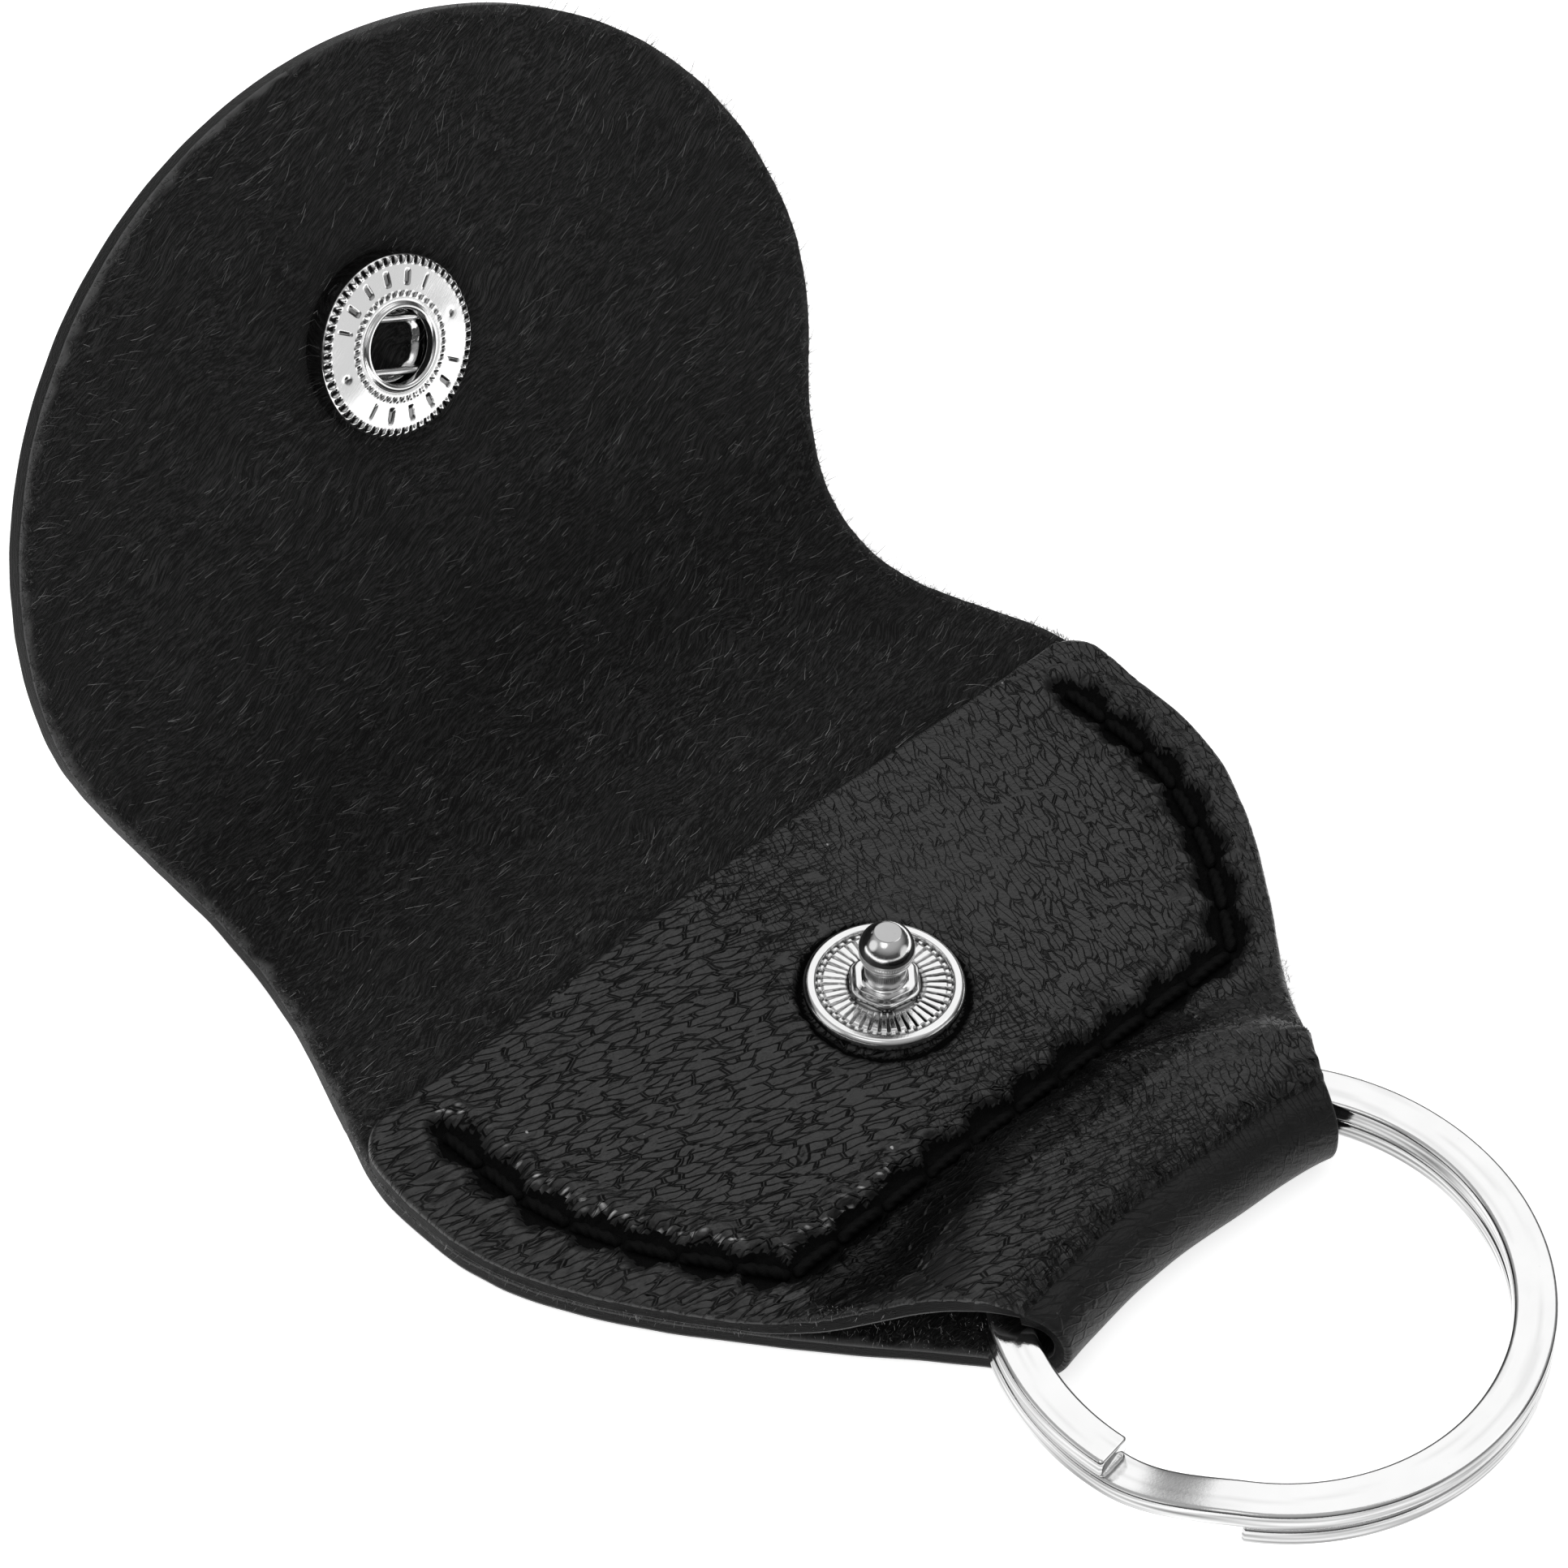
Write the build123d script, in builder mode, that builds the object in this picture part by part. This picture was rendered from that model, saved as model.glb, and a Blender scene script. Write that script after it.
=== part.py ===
"""Leather guitar-pick case: a folded leather strip sewn into a flat pocket, with a snap-closed flap,
and a split ring held in the leather loop at its foot.

Frame, in millimetres: the origin lies on the flat back face, on the axis of the snap stud.
+Z points up out of the pocket's front, +Y runs along the strip towards the flap, +X to the right.
Along the strip, a place is given by its distance from the stud, measured on the leather.
"""
from build123d import *
import os
from math import cos, pi, radians, sin, sqrt, tan

os.makedirs("parts", exist_ok=True)

# ---- leather strip -------------------------------------------------------------------------------
LEATHER = 1.15           # thickness of the hide
WIDEST_HALF = 27.6       # half width of the pocket where it is widest
WIDEST_FROM = 5.0        # that width runs from here ...
WIDEST_TO = 8.5          # ... to here along the strip
NECK_HALF = 9.0          # half width that the foot of the pocket narrows towards
NECK_FALL = 36.0         # length over which it would get there
WAIST_HALF = 22.95       # half width at the waist, where the flap bends
WAIST_AT = 25.8
FLAP_HALF = 27.65        # half width of the flap where it is widest
FLAP_WIDEST_AT = 43.2
FLAP_NOSE = 25.0         # from there to the flap's tip

MOUTH_Y = 12.4           # straight top edge of the pocket's front
MOUTH_CORNER = 2.0
CROWN = 0.9              # how far the front domes up off the back
CROWN_RADIUS = 18.0
CROWN_Y = 8.0
LOOP_ROOT_Y = -10.9      # below this line the two layers part and form the ring's tunnel
LOOP_CREST_Y = -13.7     # the upper layer has reached its full height here
TUNNEL_HEIGHT = 3.05
FOLD_Y = -24.7           # outer face of the fold at the foot

# ---- flap bend and flap --------------------------------------------------------------------------
BEND_START = 20.64       # the back leaves the surface here
BEND_RADIUS = 13.38      # of the inner face
FLAP_ANGLE = 62.6        # how far the open flap stands up
BEND_STRIP_END = 28.4    # end of the strip of leather that flexes as the flap moves
SNAP_AT = 51.5           # snap socket's place along the strip
FLAP_TIP = FLAP_WIDEST_AT + FLAP_NOSE

# ---- stitching -----------------------------------------------------------------------------------
STITCH_INSET = 3.9       # seam line inside the cut edge
STITCH_TOP_Y = 9.6       # where the seam starts on each side
STITCH_FOOT_Y = -10.1    # the straight run across the foot
STITCH_PITCH = 3.3
STITCH_FILL = 0.76       # part of each pitch that the thread covers
THREAD_RADIUS = 0.28
THREAD_SINK = 0.08       # how far the thread's centre lies below the leather's surface

# ---- snap fastener -------------------------------------------------------------------------------
STUD_SEAT = 2.85         # height of the seat pressed into the front
STUD_RADIUS = 4.4
STUD_RIM = 0.45          # radius of the plate's rolled rim
COLLAR_RADIUS = 1.85
COLLAR_HEIGHT = 0.45     # above the rolled rim
NECK_RADIUS = 1.15
BALL_RADIUS = 1.55
BALL_HEIGHT = 2.85       # centre of the ball above the rolled rim
POST_RADIUS = 0.7        # eyelet barrel that holds the stud
POST_FLANGE = 3.6
POST_SHEET = 0.4
POST_LEVEL = 1.35        # underside of the eyelet's flange
RECESS_GAP = 0.2         # around the stud's rolled rim
FIT_GAP = 0.05           # around metal set in the leather
SOCKET_RADIUS = 5.1
SOCKET_HEIGHT = 1.7      # rolled rim above the flap's inner face
SOCKET_HOLE = 2.0
SHEET = 0.3              # thickness of the pressed metal
SPRING_WIRE = 0.24       # radius of the spring's wire
SPRING_HALF_GAP = 1.48   # from the socket's axis to each leg
SPRING_TURN = 155        # degrees from X about the snap's axis
SPRING_LEG = 3.1         # half length of a leg
SPRING_LEVEL = 0.82      # above the flap's inner face
CAP_RADIUS = 6.2
CAP_HEIGHT = 1.7
CAP_EDGE = 0.35          # height of the cap's upright edge
STEM_INNER = 1.75
STEM_OUTER = 2.05

# ---- split ring ----------------------------------------------------------------------------------
RING_OUTER = 15.0
RING_INNER = 12.9
RING_WIRE = 1.25         # height of one coil
RING_X = 0.2
RING_Y = -28.8
RING_TILT = 1.5
RING_FREE_EDGE = 0.85    # height of the far edge's underside
RING_END_TOP = 189.0     # where the upper coil ends, round from +X
RING_END_UNDER = 219.0   # where the lower coil ends


def half_width(along):
    """Half width of the leather strip at a distance from the stud."""
    if along > FLAP_WIDEST_AT:
        return FLAP_HALF * sqrt(max(0.0, 1 - ((along - FLAP_WIDEST_AT) / FLAP_NOSE) ** 2))
    if along > WAIST_AT:
        turn = pi * (along - WAIST_AT) / (FLAP_WIDEST_AT - WAIST_AT)
        return WAIST_HALF + (FLAP_HALF - WAIST_HALF) * (1 - cos(turn)) / 2
    if along > WIDEST_TO:
        turn = pi * (along - WIDEST_TO) / (WAIST_AT - WIDEST_TO)
        return WAIST_HALF + (WIDEST_HALF - WAIST_HALF) * (1 + cos(turn)) / 2
    if along > WIDEST_FROM:
        return WIDEST_HALF
    turn = pi * (WIDEST_FROM - along) / NECK_FALL
    return NECK_HALF + (WIDEST_HALF - NECK_HALF) * (1 + cos(turn)) / 2


def side_points(start, end, count):
    """Points (half width, distance along) down one side of the strip."""
    step = (end - start) / (count - 1)
    return [(half_width(start + step * i), start + step * i) for i in range(count)]


def strip_sketch(plane, points, place=lambda along: along):
    """Face between a side curve and its mirror image, on a plane whose y runs along the strip."""
    with BuildSketch(plane) as face:
        with BuildLine():
            right = Spline(*[(half, place(along)) for half, along in points])
            left = Spline(*[(-half, place(along)) for half, along in points])
            Line(right @ 0, left @ 0)
            Line(right @ 1, left @ 1)
        make_face()
    return face.sketch


# ---- seam lines ----------------------------------------------------------------------------------
seam_points = [(half - STITCH_INSET, along) for half, along in side_points(STITCH_TOP_Y, STITCH_FOOT_Y, 6)]
right_seam = Spline(*seam_points)
left_seam = Spline(*[(-x, y) for x, y in reversed(seam_points)])
foot_seam = Line(right_seam @ 1, left_seam @ 0)


def stitch_ends():
    """Start and end of every stitch along the three seams."""
    ends = []
    for seam in (right_seam, foot_seam, left_seam):
        count = round(seam.length / STITCH_PITCH)
        rest = (1 - STITCH_FILL) / 2
        ends += [(seam @ ((i + rest) / count), seam @ ((i + 1 - rest) / count)) for i in range(count)]
    return ends


def thread(level, leg_end):
    """One side's stitches: a run lying at a level, with a leg down each needle hole."""
    for start, end in stitch_ends():
        run = end - start
        with BuildSketch(Plane(origin=(start.X, start.Y, level), z_dir=run)) as section:
            Circle(THREAD_RADIUS)
        extrude(section.sketch, amount=run.length)
        with BuildSketch(Plane.XY.offset(level)) as holes:
            with Locations((start.X, start.Y), (end.X, end.Y)):
                Circle(THREAD_RADIUS)
        extrude(holes.sketch, amount=leg_end - level)


with BuildPart() as needle_thread:
    thread(2 * LEATHER - THREAD_SINK, LEATHER)

with BuildPart() as bobbin_thread:
    thread(THREAD_RADIUS + THREAD_SINK, LEATHER)

# ---- leather -------------------------------------------------------------------------------------
with BuildPart() as back_panel:
    add(strip_sketch(Plane.XY, side_points(LOOP_ROOT_Y, BEND_START, 9)))
    extrude(amount=LEATHER)
    add(bobbin_thread.part, mode=Mode.SUBTRACT)


def dome_radius(foot, rise):
    """Radius of the ball that a dome with this foot radius and rise is cut from."""
    return (foot ** 2 + rise ** 2) / (2 * rise)


def crown_cap(base):
    """Shallow dome standing on a level, whose foot is the crown's circle."""
    with BuildPart() as cap:
        with BuildSketch(Plane.XZ.offset(-CROWN_Y)):
            with BuildLine():
                Line((0, base), (CROWN_RADIUS, base))
                RadiusArc((CROWN_RADIUS, base), (0, base + CROWN), -dome_radius(CROWN_RADIUS, CROWN))
                Line((0, base + CROWN), (0, base))
            make_face()
        revolve(axis=Axis((0, CROWN_Y, 0), (0, 0, 1)))
    return cap.part


outer_crown = crown_cap(2 * LEATHER)
inner_crown = crown_cap(LEATHER)
stud_recess = STUD_RADIUS + RECESS_GAP
flange_recess = POST_FLANGE + FIT_GAP

with BuildPart() as pocket_front:
    add(strip_sketch(Plane.XY.offset(LEATHER), side_points(LOOP_ROOT_Y, MOUTH_Y, 7)))
    extrude(amount=LEATHER)
    mouth_corners = pocket_front.edges().filter_by(Axis.Z).group_by(Axis.Y)[-1]
    fillet(mouth_corners, MOUTH_CORNER)
    add(outer_crown)
    with BuildSketch(Plane.XY.offset(LEATHER)):
        with Locations((0, MOUTH_Y)):
            Rectangle(3 * WIDEST_HALF, 2 * WIDEST_HALF, align=(Align.CENTER, Align.MIN))
    extrude(amount=2 * LEATHER + CROWN, mode=Mode.SUBTRACT)
    add(inner_crown, mode=Mode.SUBTRACT)
    with BuildSketch(Plane.XY.offset(STUD_SEAT)):
        Circle(stud_recess)
    extrude(amount=LEATHER, mode=Mode.SUBTRACT)
    with BuildSketch(Plane.XY.offset(POST_LEVEL)):
        Circle(flange_recess)
    extrude(amount=POST_SHEET + FIT_GAP, mode=Mode.SUBTRACT)
    with BuildSketch(Plane.XY.offset(POST_LEVEL)):
        Circle(POST_RADIUS + FIT_GAP)
    extrude(amount=2 * LEATHER, mode=Mode.SUBTRACT)
    add(needle_thread.part, mode=Mode.SUBTRACT)

tunnel_top = LEATHER + TUNNEL_HEIGHT
loop_top = tunnel_top + LEATHER
fold_outer = loop_top / 2
fold_inner = TUNNEL_HEIGHT / 2
fold_centre_y = FOLD_Y + fold_outer
crest_step = 0.5         # the outer face turns level a little before the inner one

with BuildPart() as ring_loop:
    with BuildSketch(Plane.YZ):
        with BuildLine():
            Polyline((fold_centre_y, loop_top), (LOOP_CREST_Y + crest_step, loop_top),
                     (LOOP_ROOT_Y, 2 * LEATHER), (LOOP_ROOT_Y, 0), (fold_centre_y, 0))
            ThreePointArc((fold_centre_y, 0), (FOLD_Y, fold_outer), (fold_centre_y, loop_top))
        make_face()
        with BuildLine():
            Polyline((fold_centre_y, tunnel_top), (LOOP_CREST_Y, tunnel_top),
                     (LOOP_ROOT_Y - crest_step, LEATHER), (fold_centre_y, LEATHER))
            ThreePointArc((fold_centre_y, LEATHER), (FOLD_Y + LEATHER, fold_outer),
                          (fold_centre_y, tunnel_top))
        make_face(mode=Mode.SUBTRACT)
    extrude(amount=WIDEST_HALF, both=True)
    add(strip_sketch(Plane.XY, side_points(FOLD_Y - 1, LOOP_ROOT_Y, 6)))
    extrude(amount=loop_top, mode=Mode.INTERSECT)

# ---- flap: the bend's centre line and the flat part's plane --------------------------------------
bend_centre_z = LEATHER + BEND_RADIUS
bend_length = BEND_RADIUS * radians(FLAP_ANGLE)
tangent = Vector(0, cos(radians(FLAP_ANGLE)), sin(radians(FLAP_ANGLE)))
inward = Vector(0, -sin(radians(FLAP_ANGLE)), cos(radians(FLAP_ANGLE)))
bend_end = Vector(0, BEND_START, bend_centre_z) - inward * BEND_RADIUS
flap_plane = Plane(origin=bend_end, x_dir=(1, 0, 0), z_dir=inward)
flat_start = BEND_START + bend_length


def plan_y(along):
    """Height on the plan of a point of the bend, from its place along the strip."""
    return BEND_START + BEND_RADIUS * sin((along - BEND_START) / BEND_RADIUS)


def bent_strip(start, end):
    """Part of the leather that follows the bend, between two places along the strip."""
    first = -90 + (start - BEND_START) / BEND_RADIUS * 180 / pi
    sweep_angle = (end - start) / BEND_RADIUS * 180 / pi
    with BuildSketch(Plane.YZ) as profile:
        with BuildLine():
            inner = CenterArc((BEND_START, bend_centre_z), BEND_RADIUS, first, sweep_angle)
            outer = CenterArc((BEND_START, bend_centre_z), BEND_RADIUS + LEATHER, first, sweep_angle)
            Line(inner @ 0, outer @ 0)
            Line(inner @ 1, outer @ 1)
        make_face()
    return extrude(profile.sketch, amount=WIDEST_HALF, both=True, mode=Mode.PRIVATE)


def bend_plan(start, end):
    """Plan of the strip over part of the bend, run on past both ends."""
    over = 1.5
    points = side_points(start, end, 5)
    first, last = points[0], points[-1]
    spread = [(first[0], plan_y(first[1]) - over)]
    spread += [(half, plan_y(along)) for half, along in points]
    spread += [(last[0], plan_y(last[1]) + over)]
    with BuildSketch(Plane.XY) as face:
        with BuildLine():
            right = Spline(*spread)
            left = Spline(*[(-x, y) for x, y in spread])
            Line(right @ 0, left @ 0)
            Line(right @ 1, left @ 1)
        make_face()
    return face.sketch


with BuildPart() as flap_bend:
    add(bent_strip(BEND_START, BEND_STRIP_END))
    add(bend_plan(BEND_START, BEND_STRIP_END))
    extrude(amount=bend_centre_z, mode=Mode.INTERSECT)

with BuildPart() as flap:
    add(bent_strip(BEND_STRIP_END, flat_start))
    add(bend_plan(BEND_STRIP_END, flat_start))
    extrude(amount=bend_centre_z, mode=Mode.INTERSECT)
    with BuildSketch(flap_plane):
        with BuildLine():
            side = side_points(flat_start, FLAP_WIDEST_AT, 4)
            nose = [radians(15 * i) for i in range(1, 7)]
            side += [(FLAP_HALF * cos(a), FLAP_WIDEST_AT + FLAP_NOSE * sin(a)) for a in nose]
            right = [(half, along - flat_start) for half, along in side]
            left = [(-half, along) for half, along in reversed(right[:-1])]
            edge = Spline(*right, *left)
            Line(edge @ 0, edge @ 1)
        make_face()
    extrude(amount=-LEATHER)
    with BuildSketch(flap_plane):
        with Locations((0, SNAP_AT - flat_start)):
            Circle(STEM_OUTER + FIT_GAP)
    extrude(amount=-LEATHER, mode=Mode.SUBTRACT)

# ---- snap stud on the pocket's front -------------------------------------------------------------
stud_top = STUD_SEAT + 2 * STUD_RIM
rib_level = stud_top - 0.15
rib_count = 40
dish_outer = STUD_RADIUS - STUD_RIM
ball_level = stud_top + BALL_HEIGHT
ball_foot = ball_level - sqrt(BALL_RADIUS ** 2 - NECK_RADIUS ** 2)
ball_flat = 0.75          # radius of the flat on top of the ball
ball_top = ball_level + sqrt(BALL_RADIUS ** 2 - ball_flat ** 2)
bore_top = ball_level + 0.4

with BuildPart() as snap_stud:
    with BuildSketch(Plane.XZ):
        with BuildLine():
            Polyline((POST_RADIUS, STUD_SEAT), (dish_outer, STUD_SEAT), (dish_outer, rib_level),
                     (COLLAR_RADIUS, rib_level), (COLLAR_RADIUS, stud_top + COLLAR_HEIGHT),
                     (NECK_RADIUS, stud_top + COLLAR_HEIGHT), (NECK_RADIUS, ball_foot))
            ThreePointArc((NECK_RADIUS, ball_foot), (BALL_RADIUS, ball_level), (ball_flat, ball_top))
            Polyline((ball_flat, ball_top), (0, ball_top), (0, bore_top), (POST_RADIUS, bore_top),
                     (POST_RADIUS, STUD_SEAT))
        make_face()
        with Locations((STUD_RADIUS - STUD_RIM, STUD_SEAT + STUD_RIM)):
            Circle(STUD_RIM)
    revolve(axis=Axis.Z)
    with BuildSketch(Plane.XY.offset(rib_level)):
        with PolarLocations((COLLAR_RADIUS + dish_outer) / 2, rib_count):
            Rectangle(dish_outer - COLLAR_RADIUS - 0.2, 0.2)
    extrude(amount=0.12)

with BuildPart() as stud_eyelet:
    with BuildSketch(Plane.XY.offset(POST_LEVEL)):
        Circle(POST_FLANGE)
    extrude(amount=POST_SHEET)
    with BuildSketch(Plane.XY.offset(POST_LEVEL)):
        Circle(POST_RADIUS)
    extrude(amount=bore_top - POST_LEVEL)
    with BuildSketch(Plane.XY.offset(POST_LEVEL)):
        Circle(POST_RADIUS - SHEET)
    extrude(amount=bore_top - SHEET - POST_LEVEL, mode=Mode.SUBTRACT)

# ---- snap socket, spring and cap on the flap -----------------------------------------------------
snap_centre = bend_end + tangent * (SNAP_AT - flat_start)
snap_side = Plane(origin=snap_centre, x_dir=(1, 0, 0), z_dir=-tangent)
snap_axis = Axis(snap_centre, inward)
spring_turn = radians(SPRING_TURN)
spring_x = Vector(cos(spring_turn), 0, 0) + tangent * sin(spring_turn)
spring_face = Plane(origin=snap_centre + inward * SPRING_LEVEL, x_dir=spring_x, z_dir=inward)
rim_outer = SOCKET_HOLE + 0.35
face_edge = 1.3          # height of the conical face at its outer edge
cone_sheet = 0.25
under_rim = SPRING_LEVEL + SPRING_WIRE + 0.04
stem_flare = 2.5

with BuildPart() as snap_socket:
    with BuildSketch(snap_side):
        with BuildLine():
            Polyline((STEM_OUTER, 0), (SOCKET_RADIUS, 0), (SOCKET_RADIUS, face_edge),
                     (rim_outer, SOCKET_HEIGHT - 0.1), (rim_outer - 0.1, SOCKET_HEIGHT),
                     (SOCKET_HOLE + 0.05, SOCKET_HEIGHT), (SOCKET_HOLE, SOCKET_HEIGHT - 0.1),
                     (SOCKET_HOLE, under_rim), (rim_outer, under_rim),
                     (SOCKET_RADIUS - SHEET, face_edge - cone_sheet), (SOCKET_RADIUS - SHEET, SHEET),
                     (STEM_OUTER, SHEET), (STEM_OUTER, 0))
        make_face()
    revolve(axis=snap_axis)

with BuildPart() as socket_spring:
    with BuildLine(spring_face):
        leg_top = Line((-SPRING_LEG, SPRING_HALF_GAP), (SPRING_LEG - SPRING_HALF_GAP, SPRING_HALF_GAP))
        bow = ThreePointArc(leg_top @ 1, (SPRING_LEG, 0), (SPRING_LEG - SPRING_HALF_GAP, -SPRING_HALF_GAP))
        Line(bow @ 1, (-SPRING_LEG, -SPRING_HALF_GAP))
    with BuildSketch(Plane(origin=leg_top @ 0, z_dir=leg_top % 0)):
        Circle(SPRING_WIRE)
    sweep()

cap_foot = -LEATHER
cap_top = cap_foot - CAP_HEIGHT
outer_rise = CAP_HEIGHT - CAP_EDGE
inner_rise = CAP_HEIGHT - 2 * SHEET
washer_radius = CAP_RADIUS - 0.5

with BuildPart() as snap_cap:
    with BuildSketch(snap_side):
        with BuildLine():
            Line((CAP_RADIUS, cap_foot), (CAP_RADIUS, cap_foot - CAP_EDGE))
            RadiusArc((CAP_RADIUS, cap_foot - CAP_EDGE), (0, cap_top), dome_radius(CAP_RADIUS, outer_rise))
            Line((0, cap_top), (0, cap_top + SHEET))
            RadiusArc((0, cap_top + SHEET), (washer_radius, cap_foot - SHEET),
                      -dome_radius(washer_radius, inner_rise))
            Polyline((washer_radius, cap_foot - SHEET), (STEM_INNER, cap_foot - SHEET),
                     (STEM_INNER, SHEET + 0.25), (stem_flare, SHEET + 0.25), (stem_flare, SHEET),
                     (STEM_OUTER, SHEET), (STEM_OUTER, cap_foot), (CAP_RADIUS, cap_foot))
        make_face()
    revolve(axis=snap_axis)

# ---- split ring ----------------------------------------------------------------------------------
tilt = radians(RING_TILT)
ring_height = 2 * RING_WIRE
ring_base_z = RING_FREE_EDGE + RING_OUTER * tan(tilt)
ring_plane = Plane(origin=(RING_X, RING_Y, ring_base_z), x_dir=(1, 0, 0), z_dir=(0, -sin(tilt), cos(tilt)))
crossing_angle = RING_END_UNDER - RING_END_TOP
crossing_half = RING_OUTER * sin(radians(crossing_angle / 2)) + 0.6
turned = ring_plane.rotated((0, 0, (RING_END_UNDER + RING_END_TOP) / 2))
crossing_root = turned.origin + turned.x_dir * RING_INNER * 0.9
crossing_plane = Plane(origin=crossing_root, x_dir=turned.y_dir, z_dir=turned.x_dir)

with BuildPart() as crossing:
    with BuildSketch(crossing_plane):
        Polygon((-crossing_half, 0), (-crossing_half * 0.4, 0), (crossing_half, RING_WIRE),
                (crossing_half, ring_height), (crossing_half * 0.4, ring_height),
                (-crossing_half, RING_WIRE), align=None)
    extrude(amount=RING_OUTER)
    with BuildSketch(ring_plane):
        Circle(RING_OUTER)
        Circle(RING_INNER, mode=Mode.SUBTRACT)
    extrude(amount=ring_height, mode=Mode.INTERSECT)

with BuildPart() as split_ring:
    with BuildSketch(ring_plane):
        Circle(RING_OUTER)
        Circle(RING_INNER, mode=Mode.SUBTRACT)
        with BuildLine():
            start_ray = PolarLine((0, 0), 2 * RING_OUTER, RING_END_TOP)
            end_ray = PolarLine((0, 0), 2 * RING_OUTER, RING_END_UNDER)
            Line(start_ray @ 1, end_ray @ 1)
        make_face(mode=Mode.SUBTRACT)
    extrude(amount=ring_height)
    rims = split_ring.edges().filter_by(GeomType.CIRCLE)
    chamfer(rims, 0.2)
    add(crossing.part)

# ---- write the nodes -----------------------------------------------------------------------------
nodes = {
    "back_panel": back_panel,
    "pocket_front": pocket_front,
    "ring_loop": ring_loop,
    "flap_bend": flap_bend,
    "flap": flap,
    "needle_thread": needle_thread,
    "bobbin_thread": bobbin_thread,
    "snap_stud": snap_stud,
    "stud_eyelet": stud_eyelet,
    "snap_socket": snap_socket,
    "socket_spring": socket_spring,
    "snap_cap": snap_cap,
    "split_ring": split_ring,
}
for name, piece in nodes.items():
    piece.part.label = name
    export_step(piece.part, f"parts/{name}.step")
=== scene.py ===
"""Visual model of the guitar-pick case. Shapes are worked out in millimetres, in the frame's axes."""

from math import cos, pi, radians, sin, tan

import bpy
import numpy as np
from mathutils import Matrix, Vector


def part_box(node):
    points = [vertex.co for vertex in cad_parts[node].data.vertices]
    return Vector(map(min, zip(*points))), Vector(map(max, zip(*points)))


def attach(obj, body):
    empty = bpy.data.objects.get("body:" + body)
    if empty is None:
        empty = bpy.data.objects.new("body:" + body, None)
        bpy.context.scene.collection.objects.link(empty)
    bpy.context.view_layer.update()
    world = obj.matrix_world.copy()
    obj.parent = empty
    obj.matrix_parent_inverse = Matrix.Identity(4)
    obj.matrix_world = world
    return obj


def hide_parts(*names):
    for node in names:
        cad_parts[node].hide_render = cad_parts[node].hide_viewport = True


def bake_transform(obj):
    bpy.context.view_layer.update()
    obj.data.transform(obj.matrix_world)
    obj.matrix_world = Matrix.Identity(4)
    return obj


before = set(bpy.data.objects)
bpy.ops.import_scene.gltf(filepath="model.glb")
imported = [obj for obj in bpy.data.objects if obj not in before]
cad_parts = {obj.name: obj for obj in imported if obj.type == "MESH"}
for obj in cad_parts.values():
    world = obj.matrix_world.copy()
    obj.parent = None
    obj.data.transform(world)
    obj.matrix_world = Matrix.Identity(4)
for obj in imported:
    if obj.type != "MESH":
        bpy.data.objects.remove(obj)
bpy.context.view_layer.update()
scene = bpy.context.scene
MM = 0.001

# ---- sizes shared with the CAD ----
LEATHER = 1.15
WIDEST_HALF, WIDEST_FROM, WIDEST_TO = 27.6, 5.0, 8.5
NECK_HALF, NECK_FALL = 9.0, 36.0
WAIST_HALF, WAIST_AT = 23.1, 25.8
FLAP_HALF, FLAP_WIDEST_AT, FLAP_NOSE = 27.85, 43.2, 25.2
MOUTH_Y, MOUTH_CORNER = 12.4, 2.0
CROWN, CROWN_Y = 0.9, 8.0
TUNNEL_TOP, FOLD_CENTRE_Y, FOLD_CENTRE_Z = 4.2, -22.025, 2.675
BEND_START, BEND_RADIUS, FLAP_ANGLE = 20.64, 13.38, radians(62.6)
SNAP_AT = 51.5
SPRING_TURN = radians(155)
FOLD_RADIUS = 2.1
SIDE_SHIFT, LEFT_SHARE = -0.65, 1.5
LOOP_FOOT, LOOP_CREST, LOOP_SIDE_CREST = -10.6, -14.2, -20.8
SEAM_INSET, SEAM_TOP, SEAM_FOOT, STITCH_PITCH = 3.9, 9.6, -10.1, 3.3
STUD_SEAT = 2.85
RING_CENTRE_Y, RING_OUTER, RING_INNER, RING_WIRE = -28.8, 15.0, 12.9, 1.25
RING_TILT, RING_PROUD = radians(1.5), 0.3
RING_START, RING_SWEEP, STEP_FROM, STEP_TO = 189, 690, 330, 360
STUD_FLUTES, STUD_SLOTS = 40, 44
SOCKET_BEADS, SOCKET_INNER_BEADS, SOCKET_STEPS, MARKS_AT = 58, 40, 900, 3.85
BALL, BALL_LEVEL = 1.55, 6.44
FLAT_START = BEND_START + BEND_RADIUS * FLAP_ANGLE
BEND_CENTRE_Z = LEATHER + BEND_RADIUS
BACK, FOLD, LOOP, FRONT = 0, 1, 2, 4
GRAIN, SUEDE, EDGE, FIBRES, SHADED_CHANNEL, SHADED_GRAIN = range(6)
RNG = np.random.default_rng(46)


# ---- noise ----
def lattice(ix, iy, seed):
    """A fixed random number from 0 to 1 for each whole-number pair."""
    h = (ix * 374761393 + iy * 668265263 + seed * 1442695041) & 0xFFFFFFFF
    h = ((h ^ (h >> 13)) * 1274126177) & 0xFFFFFFFF
    return ((h ^ (h >> 16)) & 0xFFFF) / 65535.0


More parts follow.
